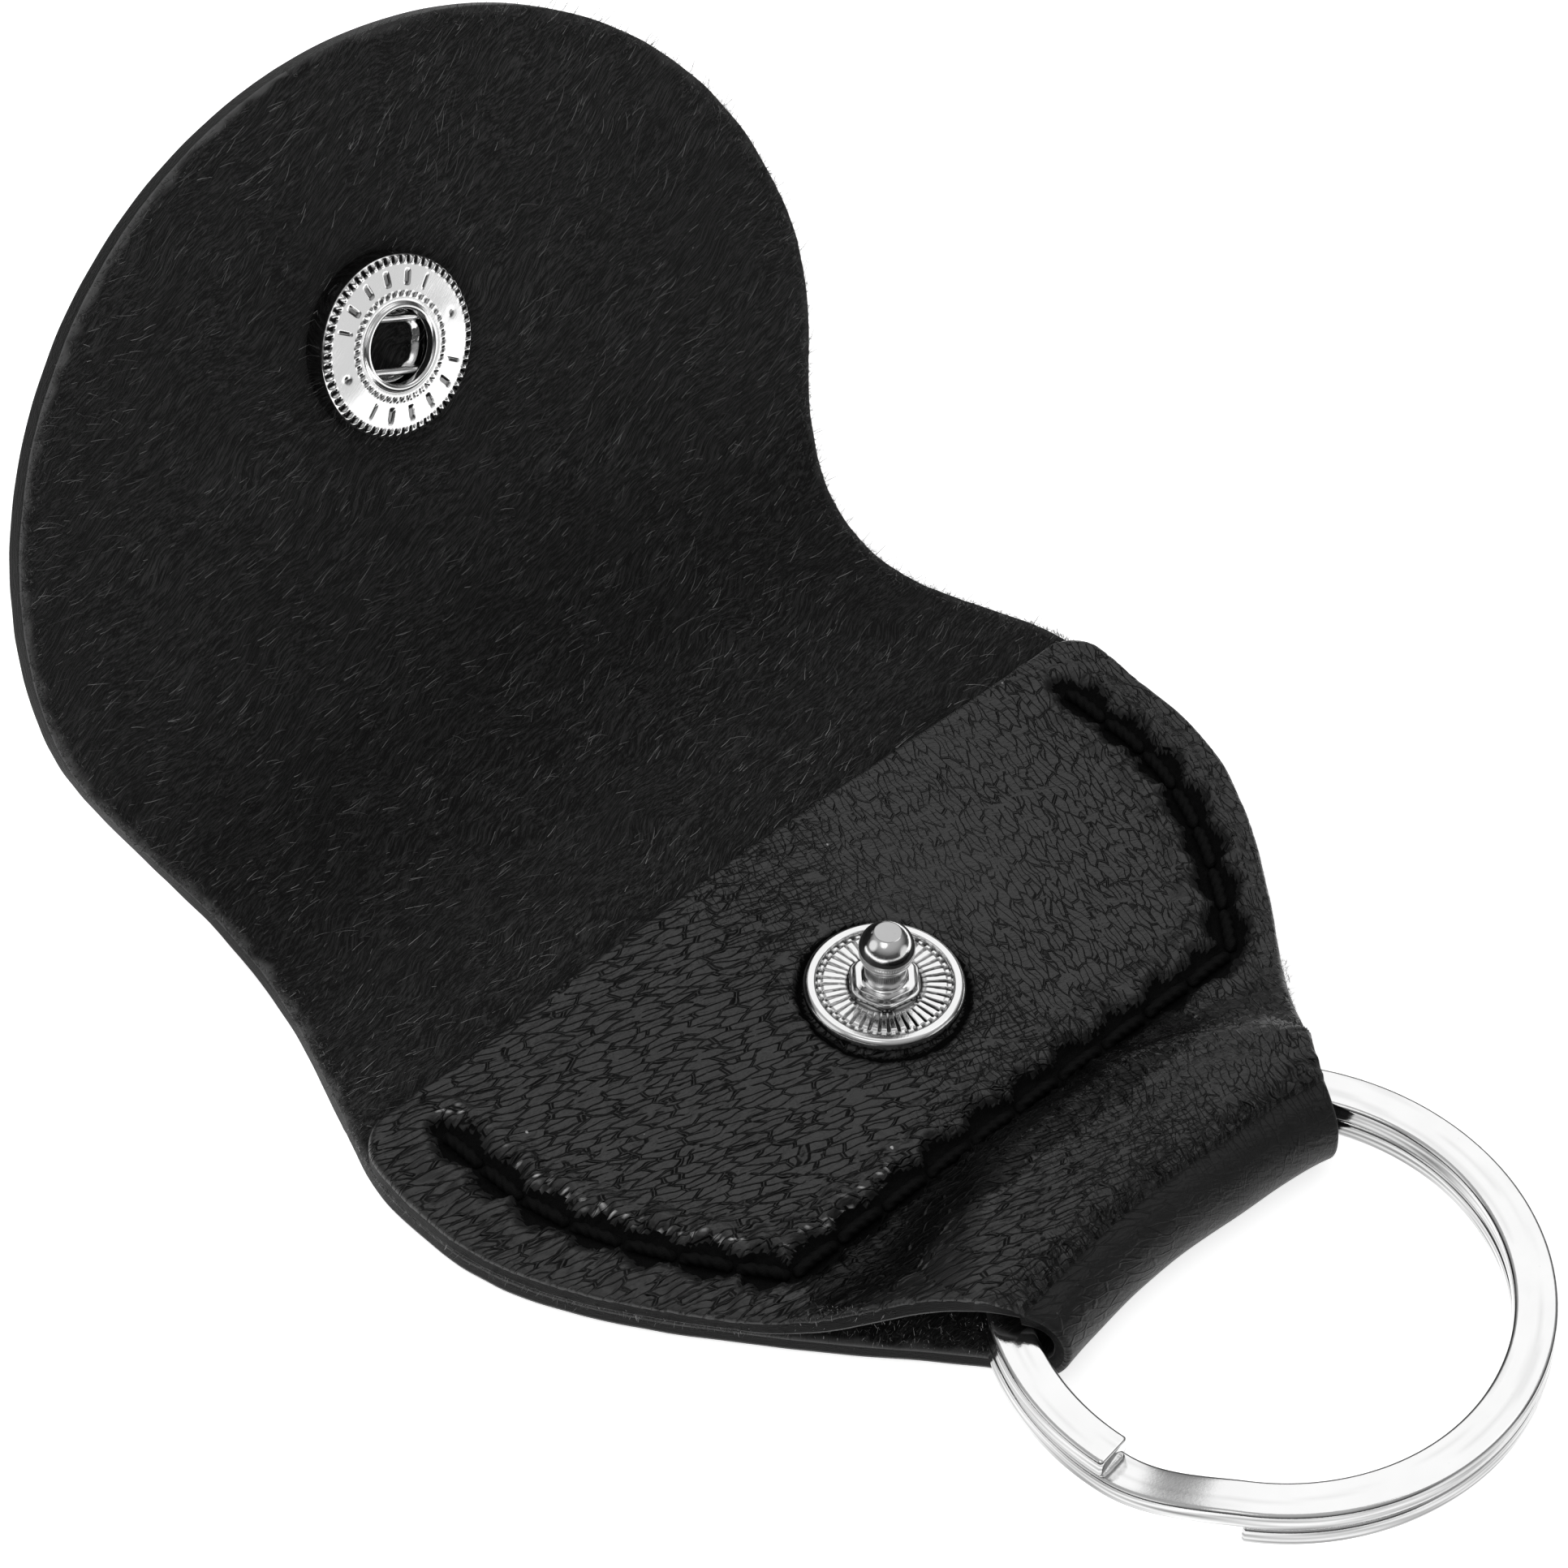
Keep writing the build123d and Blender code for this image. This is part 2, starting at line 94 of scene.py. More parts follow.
def noise(x, y, seed):
    """Gradient noise from about -1 to 1."""
    x, y = np.broadcast_arrays(np.asarray(x, float), np.asarray(y, float))
    ix, iy = np.floor(x).astype(np.int64), np.floor(y).astype(np.int64)
    fx, fy = x - ix, y - iy
    u = fx ** 3 * (fx * (6 * fx - 15) + 10)
    v = fy ** 3 * (fy * (6 * fy - 15) + 10)

    def corner(dx, dy):
        turn = lattice(ix + dx, iy + dy, seed) * 2 * pi
        return np.cos(turn) * (fx - dx) + np.sin(turn) * (fy - dy)

    low = corner(0, 0) * (1 - u) + corner(1, 0) * u
    high = corner(0, 1) * (1 - u) + corner(1, 1) * u
    return (low * (1 - v) + high * v) * 1.5


def smooth(low, high, value):
    t = np.clip((value - low) / (high - low), 0, 1)
    return t * t * (3 - 2 * t)


def peak(x, centre, reach, power):
    """1 at the centre, and close to 0 well past the reach."""
    return np.exp(-((x - centre) / reach) ** power)


def creases(x, y, seed, width=0.16):
    """Thin lines, 1 along them and 0 away from them."""
    return np.clip(1 - np.abs(noise(x, y, seed)) / width, 0, 1) ** 1.5


def turned(x, y, angle):
    return x * cos(angle) + y * sin(angle), -x * sin(angle) + y * cos(angle)


def distances(path):
    """The distance along a path at each of its points."""
    return np.r_[0, np.cumsum(np.linalg.norm(np.diff(path, axis=0), axis=1))]


def polar(points):
    """Each point's distance from the Z axis and its angle round it."""
    return np.hypot(points[:, 0], points[:, 1]), np.arctan2(points[:, 1], points[:, 0])


# ---- meshes ----
def grid(rows, cols, first=0, wrap=False):
    """Quads over a grid of points stored row by row, whose columns close on themselves if wrap is set."""
    i = np.arange(rows - 1)[:, None] * cols
    j = np.arange(cols if wrap else cols - 1)[None, :]
    after = (j + 1) % cols
    quads = np.stack([i + j, i + after, i + cols + after, i + cols + j], -1)
    return quads.reshape(-1, 4) + first


def make(name, points, faces, materials, slots=None, fields=None):
    """A smooth-shaded mesh object. points are in millimetres; fields are values at the points."""
    mesh = bpy.data.meshes.new(name)
    mesh.from_pydata((np.asarray(points) * MM).tolist(), [], [list(map(int, f)) for f in faces])
    mesh.validate()
    mesh.polygons.foreach_set("use_smooth", np.ones(len(mesh.polygons), bool))
    for material in materials:
        mesh.materials.append(material)
    if slots is not None:
        mesh.polygons.foreach_set("material_index", np.asarray(slots, np.int32))
    for key, values in (fields or {}).items():
        values = np.asarray(values, np.float32)
        if values.ndim == 2:
            mesh.attributes.new(key, "FLOAT_VECTOR", "POINT").data.foreach_set("vector", values.ravel())
        else:
            mesh.attributes.new(key, "FLOAT", "POINT").data.foreach_set("value", values)
    mesh.update()
    obj = bpy.data.objects.new(name, mesh)
    scene.collection.objects.link(obj)
    return obj


def revolve(radius, level, shift=None, count=180):
    """Points and faces of a surface of revolution with a pole at each end of its profile.
    shift(radius, level, angle) gives the change of both over the whole grid."""
    angle = np.linspace(0, 2 * pi, count, endpoint=False)[None, :]
    r = np.asarray(radius, float)[:, None] + 0 * angle
    z = np.asarray(level, float)[:, None] + 0 * angle
    if shift:
        dr, dz = shift(r, z, angle + 0 * r)
        r, z = r + dr, z + dz
    points = np.stack([r * np.cos(angle), r * np.sin(angle), z], -1).reshape(-1, 3)
    faces = [list(q) for q in grid(len(radius), count, wrap=True)]
    for row, turn in ((0, -1), (len(radius) - 1, 1)):
        if radius[row] < 0.05:
            faces.append([row * count + k for k in range(count)][::turn])
    return points, faces


def rounded(corners, radius, step=0.12):
    """A profile through corners with each inner corner rounded, as points about a step apart."""
    pts = [np.array(corners[0], float)]
    for before, here, after in zip(corners, corners[1:], corners[2:]):
        before, here, after = (np.array(p, float) for p in (before, here, after))
        a, b = before - here, after - here
        cut = min(radius, 0.45 * np.linalg.norm(a), 0.45 * np.linalg.norm(b))
        a, b = here + a / np.linalg.norm(a) * cut, here + b / np.linalg.norm(b) * cut
        for t in np.linspace(0, 1, 6):
            pts.append((1 - t) ** 2 * a + 2 * t * (1 - t) * here + t * t * b)
    pts.append(np.array(corners[-1], float))
    out = [pts[0]]
    for a, b in zip(pts, pts[1:]):
        count = max(1, int(np.ceil(np.linalg.norm(b - a) / step)))
        out += [a + (b - a) * k / count for k in range(1, count + 1)]
    out = np.array(out)
    return out[:, 0], out[:, 1]


def capped(rows, sides):
    """Faces of a closed tube of rows of points, with a cap at each end."""
    faces = [list(q) for q in grid(rows, sides, wrap=True)]
    return faces + [list(range(sides))[::-1], [(rows - 1) * sides + k for k in range(sides)]]


def tube(path, radius, sides, shape=None):
    """A tube along a path with capped ends. shape(length, angle) scales its radius."""
    path = np.asarray(path, float)
    along = np.gradient(path, axis=0)
    along /= np.linalg.norm(along, axis=1)[:, None]
    side = np.cross(along[0], (0.31, 0.17, 0.93))
    frames = []
    for t in along:
        side = side - t * np.dot(side, t)
        side /= np.linalg.norm(side)
        frames.append((side, np.cross(t, side)))
    length = distances(path)
    angle = np.linspace(0, 2 * pi, sides, endpoint=False)
    points = []
    for k, (a, b) in enumerate(frames):
        r = radius * (shape(length[k], length[-1], angle) if shape else np.ones(sides))
        points.append(path[k] + r[:, None] * (np.cos(angle)[:, None] * a + np.sin(angle)[:, None] * b))
    return np.concatenate(points), capped(len(path), sides)


def joined(parts):
    """Several (points, faces) as one."""
    points, faces, first = [], [], 0
    for p, f in parts:
        points.append(p)
        faces += [[v + first for v in face] for face in f]
        first += len(p)
    return np.concatenate(points), faces


# ---- materials ----
class Nodes:
    """A node tree, built with short calls."""

    def __init__(self, tree):
        self.tree = tree

    def add(self, kind, inputs=None, **settings):
        made = self.tree.nodes.new("ShaderNode" + kind)
        for key, value in settings.items():
            setattr(made, key, value)
        for key, value in (inputs or {}).items():
            self.set(made.inputs[key], value)
        return made

    def set(self, socket, value):
        if isinstance(value, bpy.types.NodeSocket):
            self.tree.links.new(value, socket)
        else:
            socket.default_value = value

    def math(self, operation, a, b=0.0, clamp=False):
        return self.add("Math", {0: a, 1: b}, operation=operation, use_clamp=clamp).outputs[0]

    def times(self, a, b):
        return self.math("MULTIPLY", a, b)

    def plus(self, a, b):
        return self.math("ADD", a, b)

    def field(self, name, output="Vector"):
        return self.add("Attribute", attribute_name=name).outputs[output]

    def place(self, vector, size, turn=0.0, shift=(0, 0, 0)):
        """The vector turned about Z, then measured in cells of the given size."""
        turned_ = self.add("Mapping", {"Vector": vector, "Rotation": (0, 0, -turn), "Location": shift})
        scale = tuple(1 / s for s in size)
        return self.add("Mapping", {"Vector": turned_.outputs[0], "Scale": scale}).outputs[0]

    def noise(self, vector, size, detail=3.0, rough=0.55, **place):
        vector = self.place(vector, size, **place)
        made = self.add("TexNoise", {"Vector": vector, "Scale": 1.0, "Detail": detail, "Roughness": rough})
        return made.outputs["Fac"]

    def cells(self, vector, feature="DISTANCE_TO_EDGE"):
        made = self.add("TexVoronoi", {"Vector": vector, "Scale": 1.0}, feature=feature)
        return made.outputs["Distance"]

    def cracks(self, vector, inside, outside):
        """Thin lines between stretched cells, 1 in them."""
        return self.ramp(self.cells(vector), inside, outside, 1.0, 0.0)

    def ramp(self, value, low, high, from_=0.0, to=1.0):
        made = self.add("MapRange", {0: value, 1: low, 2: high, 3: from_, 4: to})
        made.interpolation_type = "SMOOTHSTEP"
        return made.outputs[0]

    def blend(self, factor, a, b):
        made = self.add("Mix", {0: factor}, data_type="RGBA")
        self.set(made.inputs[6], a)
        self.set(made.inputs[7], b)
        return made.outputs[2]

    def mix(self, factor, a, b):
        return self.add("Mix", {0: factor, 2: a, 3: b}).outputs[0]


class Look(Nodes):
    """A new material and its node tree."""

    def __init__(self, name, **values):
        self.material = bpy.data.materials.new(name)
        self.material.use_nodes = True
        super().__init__(self.material.node_tree)
        self.shader = self.tree.nodes["Principled BSDF"]
        for key, value in values.items():
            self.shader.inputs[key.replace("_", " ")].default_value = value

    def colour(self, value):
        self.set(self.shader.inputs["Base Color"], value)

    def roughness(self, value):
        self.set(self.shader.inputs["Roughness"], value)

    def bump(self, height):
        """height is in millimetres."""
        made = self.add("Bump", {"Height": height, "Distance": MM, "Strength": 1.0})
        self.tree.links.new(made.outputs[0], self.shader.inputs["Normal"])


def grey(value):
    return (value, value, value, 1)


def grain_look(name, gloss):
    """Black dyed grain leather: fine pores, cracks that turn across the hide, and the loop's rucks, with
    painted shade in the cracks and creases, painted shade over a smooth patch below the seam, and painted
    glints.
    """
    look = Look(name, IOR=1.5, Specular_IOR_Level=gloss)
    hide, crease = look.field("hide"), look.field("crease", "Fac")
    across = look.add("SeparateXYZ", {0: hide}).outputs[0]
    warp = look.noise(hide, (2.6, 2.6, 1), 2)
    bent = look.add("VectorMath", {0: hide, 1: warp}, operation="ADD").outputs[0]
    left = look.cracks(look.place(bent, (1.75, 0.42, 1), radians(19)), 0.01, 0.095)
    right = look.cracks(look.place(bent, (1.4, 0.38, 1), radians(-75)), 0.005, 0.075)
    side = look.ramp(look.plus(across, look.times(warp, 12)), 0, 14)
    line = look.mix(side, left, look.times(right, 0.6))
    open_ = look.ramp(look.noise(hide, (1.6, 0.9, 1), 2, turn=0.3), 0.34, 0.46)
    patch = look.ramp(look.noise(hide, (9, 7, 1), 2, turn=0.4, shift=(3, 1, 0)), 0.20, 0.42)
    reach = look.times(open_, patch)
    crack = look.times(line, reach)
    crack = look.times(crack, look.field("wrinkled", "Fac"))
    pores = look.cells(look.place(hide, (0.2, 0.2, 1)), "F1")
    fine = look.noise(hide, (0.16, 0.16, 1), 4, 0.6)
    ripple = look.noise(bent, (1.1, 0.35, 1), 3, 0.6, turn=radians(17))
    height = look.times(crack, -0.30)
    height = look.plus(height, look.times(ripple, 0.10))
    height = look.plus(height, look.times(pores, 0.010))
    height = look.plus(height, look.times(fine, 0.016))
    ruck = look.noise(bent, (0.42, 2.0, 1), 2, 0.6, turn=radians(10))
    ruck = look.times(look.ramp(ruck, 0.36, 0.62), look.field("ruck", "Fac"))
    height = look.plus(height, look.times(ruck, 0.40))
    look.bump(height)
    # painted shade: the cracks and the creases of the seam and round the stud are darkened towards black
    dark = look.math("MAXIMUM", look.times(crack, 0.9), crease)
    tone = look.blend(look.noise(hide, (6, 6, 1), 3), grey(0.006), grey(0.013))
    dust = look.ramp(look.cells(look.place(hide, (1.9, 2.3, 1), 0.2), "F1"), 0.035, 0.055, 1.0, 0.0)
    dusty = look.ramp(look.noise(hide, (4, 4, 1), 1, turn=1, shift=(9, 2, 0)), 0.55, 0.6)
    dust = look.times(dust, dusty)
    tone = look.blend(dust, look.blend(dark, tone, grey(0.0015)), grey(0.35))
    tone = look.blend(look.field("glint", "Fac"), tone, grey(0.6))
    # painted shade: a smooth patch of the loop below the seam is darkened, and its roughness lowered
    sleek_painted_shade = look.field("sleek_painted_shade", "Fac")
    tone = look.blend(sleek_painted_shade, tone, grey(0.0015))
    look.colour(tone)
    rough = look.plus(look.times(fine, 0.2), 0.30)
    rough = look.math("ADD", rough, look.times(crease, 0.35), True)
    look.roughness(look.mix(sleek_painted_shade, rough, 0.2))
    return look.material


def channel_look():
    """The bottom of the seam's channel and the crease round the stud: matt and torn, a near-black, low-gloss
    copy of the grain leather that paints the shade there.
    """
    look = Look("seam_channel_shade", Specular_IOR_Level=0.1)
    torn = look.noise(look.field("hide"), (0.3, 0.3, 1), 4, 0.65)
    look.colour(look.blend(torn, grey(0.001), grey(0.004)))
    look.roughness(look.plus(look.times(torn, 0.2), 0.7))
    look.bump(look.times(torn, 0.15))
    return look.material


def suede_look():
    """The hide's flesh side: dull, with a nap that runs across the strip."""
    look = Look("flesh_suede", Specular_IOR_Level=0.12, Sheen_Weight=0.05, Sheen_Roughness=0.6)
    hide = look.field("hide")
    warp = look.noise(hide, (7, 7, 1), 2)
    bent = look.add("VectorMath", {0: hide, 1: look.times(warp, 5)}, operation="ADD").outputs[0]
    streak = look.noise(bent, (1.4, 0.16, 1), 4, 0.65, turn=radians(8))
    fluff = look.noise(bent, (0.5, 0.09, 1), 3, 0.7, turn=radians(22))
    both = look.times(streak, fluff)
    cloud = look.noise(hide, (14, 11, 1), 2)
    tone = look.blend(look.ramp(both, 0.19, 0.37), grey(0.003), grey(0.034))
    tone = look.blend(look.ramp(cloud, 0.35, 0.7, 0.0, 0.35), tone, grey(0.004))
    tone = look.blend(look.field("fringe", "Fac"), tone, grey(0.11))
    look.colour(tone)
    look.roughness(look.plus(look.times(streak, 0.2), 0.78))
    look.bump(look.times(both, 0.22))
    return look.material


def edge_look():
    """The cut edge, dyed black and rubbed smooth, with fibres along it."""
    look = Look("cut_edge", IOR=1.48, Specular_IOR_Level=0.12)
    hide = look.field("hide")
    fibre = look.noise(hide, (0.25, 1.4, 0.12), 4, 0.6)
    look.colour(look.blend(look.ramp(fibre, 0.35, 0.8), grey(0.002), grey(0.012)))
    look.roughness(look.plus(look.times(fibre, 0.35), 0.3))
    look.bump(look.times(fibre, 0.06))
    return look.material


def fibre_look():
    """Loose fibres, from dyed black to bare and pale."""
    look = Look("loose_fibres", Specular_IOR_Level=0.12)
    pale, hide = look.field("pale", "Fac"), look.field("hide")
    mottle = look.noise(hide, (0.6, 0.6, 1), 2)
    tone = look.blend(pale, grey(0.012), grey(0.55))
    look.colour(look.blend(look.ramp(mottle, 0.3, 0.8, 0, 0.6), tone, grey(0.01)))
    look.roughness(look.plus(look.times(mottle, 0.3), 0.45))
    return look.material


def thread_look():
    """Black waxed thread."""
    look = Look("waxed_thread", Specular_IOR_Level=0.1)
    hide = look.field("hide")
    strands = look.noise(hide, (0.5, 0.07, 0.07), 3)
    look.colour(look.blend(strands, grey(0.0015), grey(0.005)))
    look.roughness(look.plus(look.times(strands, 0.3), 0.5))
    look.bump(look.times(strands, 0.05))
    return look.material


def metal_look(name, colour, rough, scratch, size, speckle=0.0):
    """Plated metal with soft streaks and fine scratches, in the piece's own millimetres; a field paints shade
    and dark reflections on it in near black.
    """
    look = Look(name, Metallic=1.0)
    hide = look.field("hide")
    cloud = look.noise(hide, (3, 3, 3), 3)
    lines = look.noise(hide, size, 4, 0.7, turn=0.5)
    spots = look.ramp(look.cells(look.place(hide, (0.8, 0.8, 0.8)), "F1"), 0.03, 0.08, speckle, 0.0)
    tone = look.blend(look.times(cloud, 0.5), grey(colour), grey(colour * 0.8))
    tone = look.blend(spots, tone, grey(colour * 0.3))
    # painted shade and painted dark reflections: a field darkens the metal towards near black
    look.colour(look.blend(look.field("painted_shade", "Fac"), tone, grey(0.012)))
    wear = look.times(look.ramp(lines, 0.5, 0.75), scratch)
    base = look.plus(look.times(cloud, rough), rough * 0.5)
    look.roughness(look.plus(base, wear))
    look.bump(look.times(lines, 0.004))
    return look.material


# the matt copy is the same leather with less gloss, laid on the fold face and on the loop below the seam as
# painted shade
grain, shaded_grain = grain_look("grain_leather", 0.62), grain_look("grain_leather_shaded_copy", 0.22)
suede, cut_edge, fibres = suede_look(), edge_look(), fibre_look()
channel, thread = channel_look(), thread_look()
snap_metal = metal_look("snap_plate_nickel", 0.84, 0.10, 0.12, (1.5, 0.1, 0.1), 0.2)
wire_metal = metal_look("spring_steel", 0.78, 0.16, 0.1, (2.0, 0.06, 0.06))
ring_metal = metal_look("ring_chrome", 0.88, 0.055, 0.1, (9.0, 0.12, 0.12), 0.1)
cap_metal = metal_look("cap_nickel", 0.84, 0.12, 0.2, (4.0, 0.08, 0.08), 0.2)


# ---- the hide: one strip from the flap's tip down, round the fold and up to the mouth ----
def half_width(along):
    """Half the strip's width at a place along it."""
    along = np.asarray(along, float)
    nose = FLAP_HALF * np.sqrt(np.maximum(0, 1 - ((along - FLAP_WIDEST_AT) / FLAP_NOSE) ** 2))
    rise = (1 - np.cos(pi * (along - WAIST_AT) / (FLAP_WIDEST_AT - WAIST_AT))) / 2
    fall = (1 + np.cos(pi * (along - WIDEST_TO) / (WAIST_AT - WIDEST_TO))) / 2
    neck = (1 + np.cos(pi * (WIDEST_FROM - along) / NECK_FALL)) / 2
    return np.select(
        [along > FLAP_WIDEST_AT, along > WAIST_AT, along > WIDEST_TO, along > WIDEST_FROM],
        [nose, WAIST_HALF + (FLAP_HALF - WAIST_HALF) * rise,
         WAIST_HALF + (WIDEST_HALF - WAIST_HALF) * fall, WIDEST_HALF + 0 * along],
        NECK_HALF + (WIDEST_HALF - NECK_HALF) * neck)


def flap_place(along, out):
    """(y, z) of a point of the open flap, its bend or the back, out being its height on the grain side
    above the flesh side, both from the place along the strip."""
    along = np.asarray(along, float)
    turn = np.clip((along - BEND_START) / BEND_RADIUS, 0, FLAP_ANGLE)
    flat = np.maximum(0, along - FLAT_START)
    y = BEND_START + (BEND_RADIUS + out) * np.sin(turn) + flat * np.cos(turn)
    z = BEND_CENTRE_Z - (BEND_RADIUS + out) * np.cos(turn) + flat * np.sin(turn)
    return np.minimum(0, along - BEND_START) + y, z


def steps(start, end, step):
    count = max(2, int(round(abs(end - start) / step)))
    return np.linspace(start, end, count, endpoint=False)


def hide_rows():
    """One row for each line across the hide: middle of its thickness (y, z), the grain side's normal,
    half width, zone and the place that its pattern follows, along the strip or, from the fold on, in plan."""
    rows = []
    tip = FLAP_WIDEST_AT + FLAP_NOSE * np.sin(np.radians(steps(89.2, 0, 0.8)))
    along = np.r_[tip, steps(FLAP_WIDEST_AT, BEND_START, 0.32), steps(BEND_START, FOLD_CENTRE_Y, 0.45)]
    y, z = flap_place(along, LEATHER / 2)
    turn = np.clip((along - BEND_START) / BEND_RADIUS, 0, FLAP_ANGLE)
    rows.append(np.stack([y, z, np.sin(turn), -np.cos(turn), half_width(along), BACK + 0 * y, along], 1))
    turn = np.radians(steps(-90, -270, 4.5))
    y = FOLD_CENTRE_Y + FOLD_RADIUS * np.cos(turn)
    rows.append(np.stack([y, FOLD_CENTRE_Z + FOLD_RADIUS * np.sin(turn), np.cos(turn), np.sin(turn),
                          half_width(y), FOLD + 0 * y, y], 1))
    y = steps(FOLD_CENTRE_Y, LOOP_FOOT, 0.14)
    rows.append(np.stack([y, 1.5 * LEATHER + 0 * y, 0 * y, 1 + 0 * y, half_width(y), LOOP + 0 * y, y], 1))
    lip = MOUTH_Y - MOUTH_CORNER
    corner = lip + MOUTH_CORNER * np.sin(np.radians(np.r_[steps(0, 90, 2.6), 90]))
    y = np.r_[steps(LOOP_FOOT, lip, 0.16), corner]
    half = half_width(y)
    half -= MOUTH_CORNER - np.sqrt(np.maximum(0, MOUTH_CORNER ** 2 - np.maximum(0, y - lip) ** 2))
    rows.append(np.stack([y, 1.5 * LEATHER + 0 * y, 0 * y, 1 + 0 * y, half, FRONT + 0 * y, y], 1))
    return np.concatenate(rows)


def seam_line():
    """The seam in plan, from the right side's top, down, across the foot and up the left side."""
    y = np.linspace(SEAM_TOP, SEAM_FOOT, 260)
    right = np.stack([half_width(y) - SEAM_INSET, y], 1)
    x = np.linspace(right[-1, 0], -right[-1, 0], 340)[1:-1]
    return right, np.stack([x, 0 * x + SEAM_FOOT], 1), right[::-1] * (-1, 1)


def seam_field(x, y):
    """Distance to the seam in plan, and the phase of the stitches at the nearest place, for each point."""
    line, phase = [], []
    for k, part in enumerate(seam_line()):
        length = distances(part)
        line.append(part)
        phase.append(length / length[-1] * round(length[-1] / STITCH_PITCH) + 20 * k)
    line, phase = np.concatenate(line), np.concatenate(phase)
    distance, nearest = np.empty(len(x)), np.empty(len(x), int)
    for k in range(0, len(x), 8000):
        gap = (x[k:k + 8000, None] - line[None, :, 0]) ** 2 + (y[k:k + 8000, None] - line[None, :, 1]) ** 2
        nearest[k:k + 8000] = gap.argmin(1)
        distance[k:k + 8000] = np.sqrt(gap.min(1))
    return distance, phase[nearest]


def fold_pull(x, y):
    """How far the middle of the fold is drawn in, so that its corners stand out."""
    half = half_width(-24.0)
    middle_in = 1.35 * np.clip(1 - (x / half) ** 2, 0, 1)
    return (middle_in + 0.55 * smooth(3, 10, x)) * smooth(-15.0, -24.5, y)


def side_shift(y, on_left):
    """How far the pouch's edge lies off its place, toward -X, for the seam is sewn off its middle."""
    return SIDE_SHIFT * smooth(-24, -14, y) * (1 - smooth(6, 16, y)) * np.where(on_left, LEFT_SHARE, 1.0)


def loop_rise(x, y):
    """Height of the loop's upper layer above the front, which drapes over the ring's outer edge."""
    arc = np.sqrt(np.maximum(0, (RING_OUTER + 0.35) ** 2 - (x - 0.2) ** 2))
    crest = np.clip(RING_CENTRE_Y + arc, LOOP_SIDE_CREST, LOOP_CREST)
    return (TUNNEL_TOP - LEATHER) * smooth(0, 1, (LOOP_FOOT - y) / (LOOP_FOOT - crest))


rows = hide_rows()
EDGE_STEPS = np.array([0, 0.02, 0.06, 0.13, 0.23, 0.36])
COLUMNS = 250
mid_y, mid_z, normal_y, normal_z, half, zone, place = (rows[:, k:k + 1] for k in range(7))
inset = EDGE_STEPS[None, :] * np.minimum(1, half / 0.9)
middle = np.linspace(-1, 1, COLUMNS)[None, 1:-1] * (half - inset[:, -1:])
X = np.concatenate([inset - half, middle, (half - inset)[:, ::-1]], 1)
zone = zone + 0 * X
path = np.r_[0, np.cumsum(np.hypot(np.diff(mid_y[:, 0]), np.diff(mid_z[:, 0])))]
length = (path[-1] - path)[:, None] + 0 * X
slope = np.gradient(half[:, 0], path)[:, None]
edge = (half - np.abs(X)) / np.sqrt(1 + slope ** 2)
edge = np.minimum(edge, np.where(zone == FRONT, MOUTH_Y - place, 99))
P = place + 0 * X
front = (zone == FRONT) | ((zone == LOOP) & (P > -15))
upper = zone == LOOP
STEP = 0.01
rise = np.where(upper, loop_rise(X, P), 0)
lean_x = np.where(upper, loop_rise(X - STEP, P) - loop_rise(X + STEP, P), 0) / (2 * STEP)
lean_y = np.where(upper, loop_rise(X, P - STEP) - loop_rise(X, P + STEP), 0) / (2 * STEP)
steep = np.sqrt(1 + lean_x ** 2 + lean_y ** 2)
NORMAL_X = lean_x / steep
NORMAL_Y = np.where(upper, lean_y / steep, normal_y)
NORMAL_Z = np.where(upper, 1 / steep, normal_z)
shift = side_shift(P, X < 0) * smooth(-3.6, -0.4, np.abs(X) - half)

# grain side
high = np.zeros_like(X)
crease = np.zeros_like(X)
wrinkled = np.where(zone >= FOLD, 1.0, 0.25)
crown = CROWN * np.clip(1 - (X ** 2 + (P - CROWN_Y) ** 2) / 20.5 ** 2, 0, 1) ** 1.6 * (zone == FRONT)
mask = front | ((zone == BACK) & (P < 13))
gap, phase = seam_field(X[mask], P[mask])
swing = np.cos(2 * pi * phase)
below = (zone == BACK)[mask]
inner = (np.abs(X[mask]) < half_width(P[mask]) - SEAM_INSET) & (P[mask] > SEAM_FOOT)
teeth = noise(phase * 6.2, np.where(inner, 3.3, 7.7) + gap * 0.4, 11)
teeth = teeth + 0.6 * noise(phase * 13, gap * 0.9, 12)
reach = 1.02 - 0.28 * swing + 0.34 * teeth
reach = np.where(below, 0.42 - 0.06 * swing + 0.03 * teeth, reach)
ditch = np.exp(-(gap / np.maximum(reach, 0.3)) ** 4)
puffed = peak(gap, 1.75, 0.75, 2) * (0.8 - 0.35 * swing)
rays = creases(phase * 4.6 + 0.35 * noise(gap * 0.8, phase, 5), gap * 0.28 + np.where(inner, 0, 9), 21, 0.3)
fade = smooth(0.5, 1.0, gap) * (1 - smooth(1.8, 4.2, gap))
shaped = -0.85 * ditch + 0.26 * puffed - 0.20 * rays * fade
shaped = np.where(below, -0.34 * ditch - 0.02 * rays * fade, shaped)
high[mask] += shaped
# painted shade: the seam's ditch is darkened, more weakly on the back
crease[mask] = np.clip(1.25 * ditch, 0, 1) * np.where(below, 0.4, 1)
deep = np.zeros_like(X)
deep[mask] = np.where(below, 0, ditch)
glint = np.zeros_like(X)
specks = smooth(0.45, 0.6, noise(X[mask] / 0.22, P[mask] / 0.22, 23)) * (X[mask] < -8) * inner
glint[mask] = specks * peak(gap, 1.25, 0.3, 2) * ~below

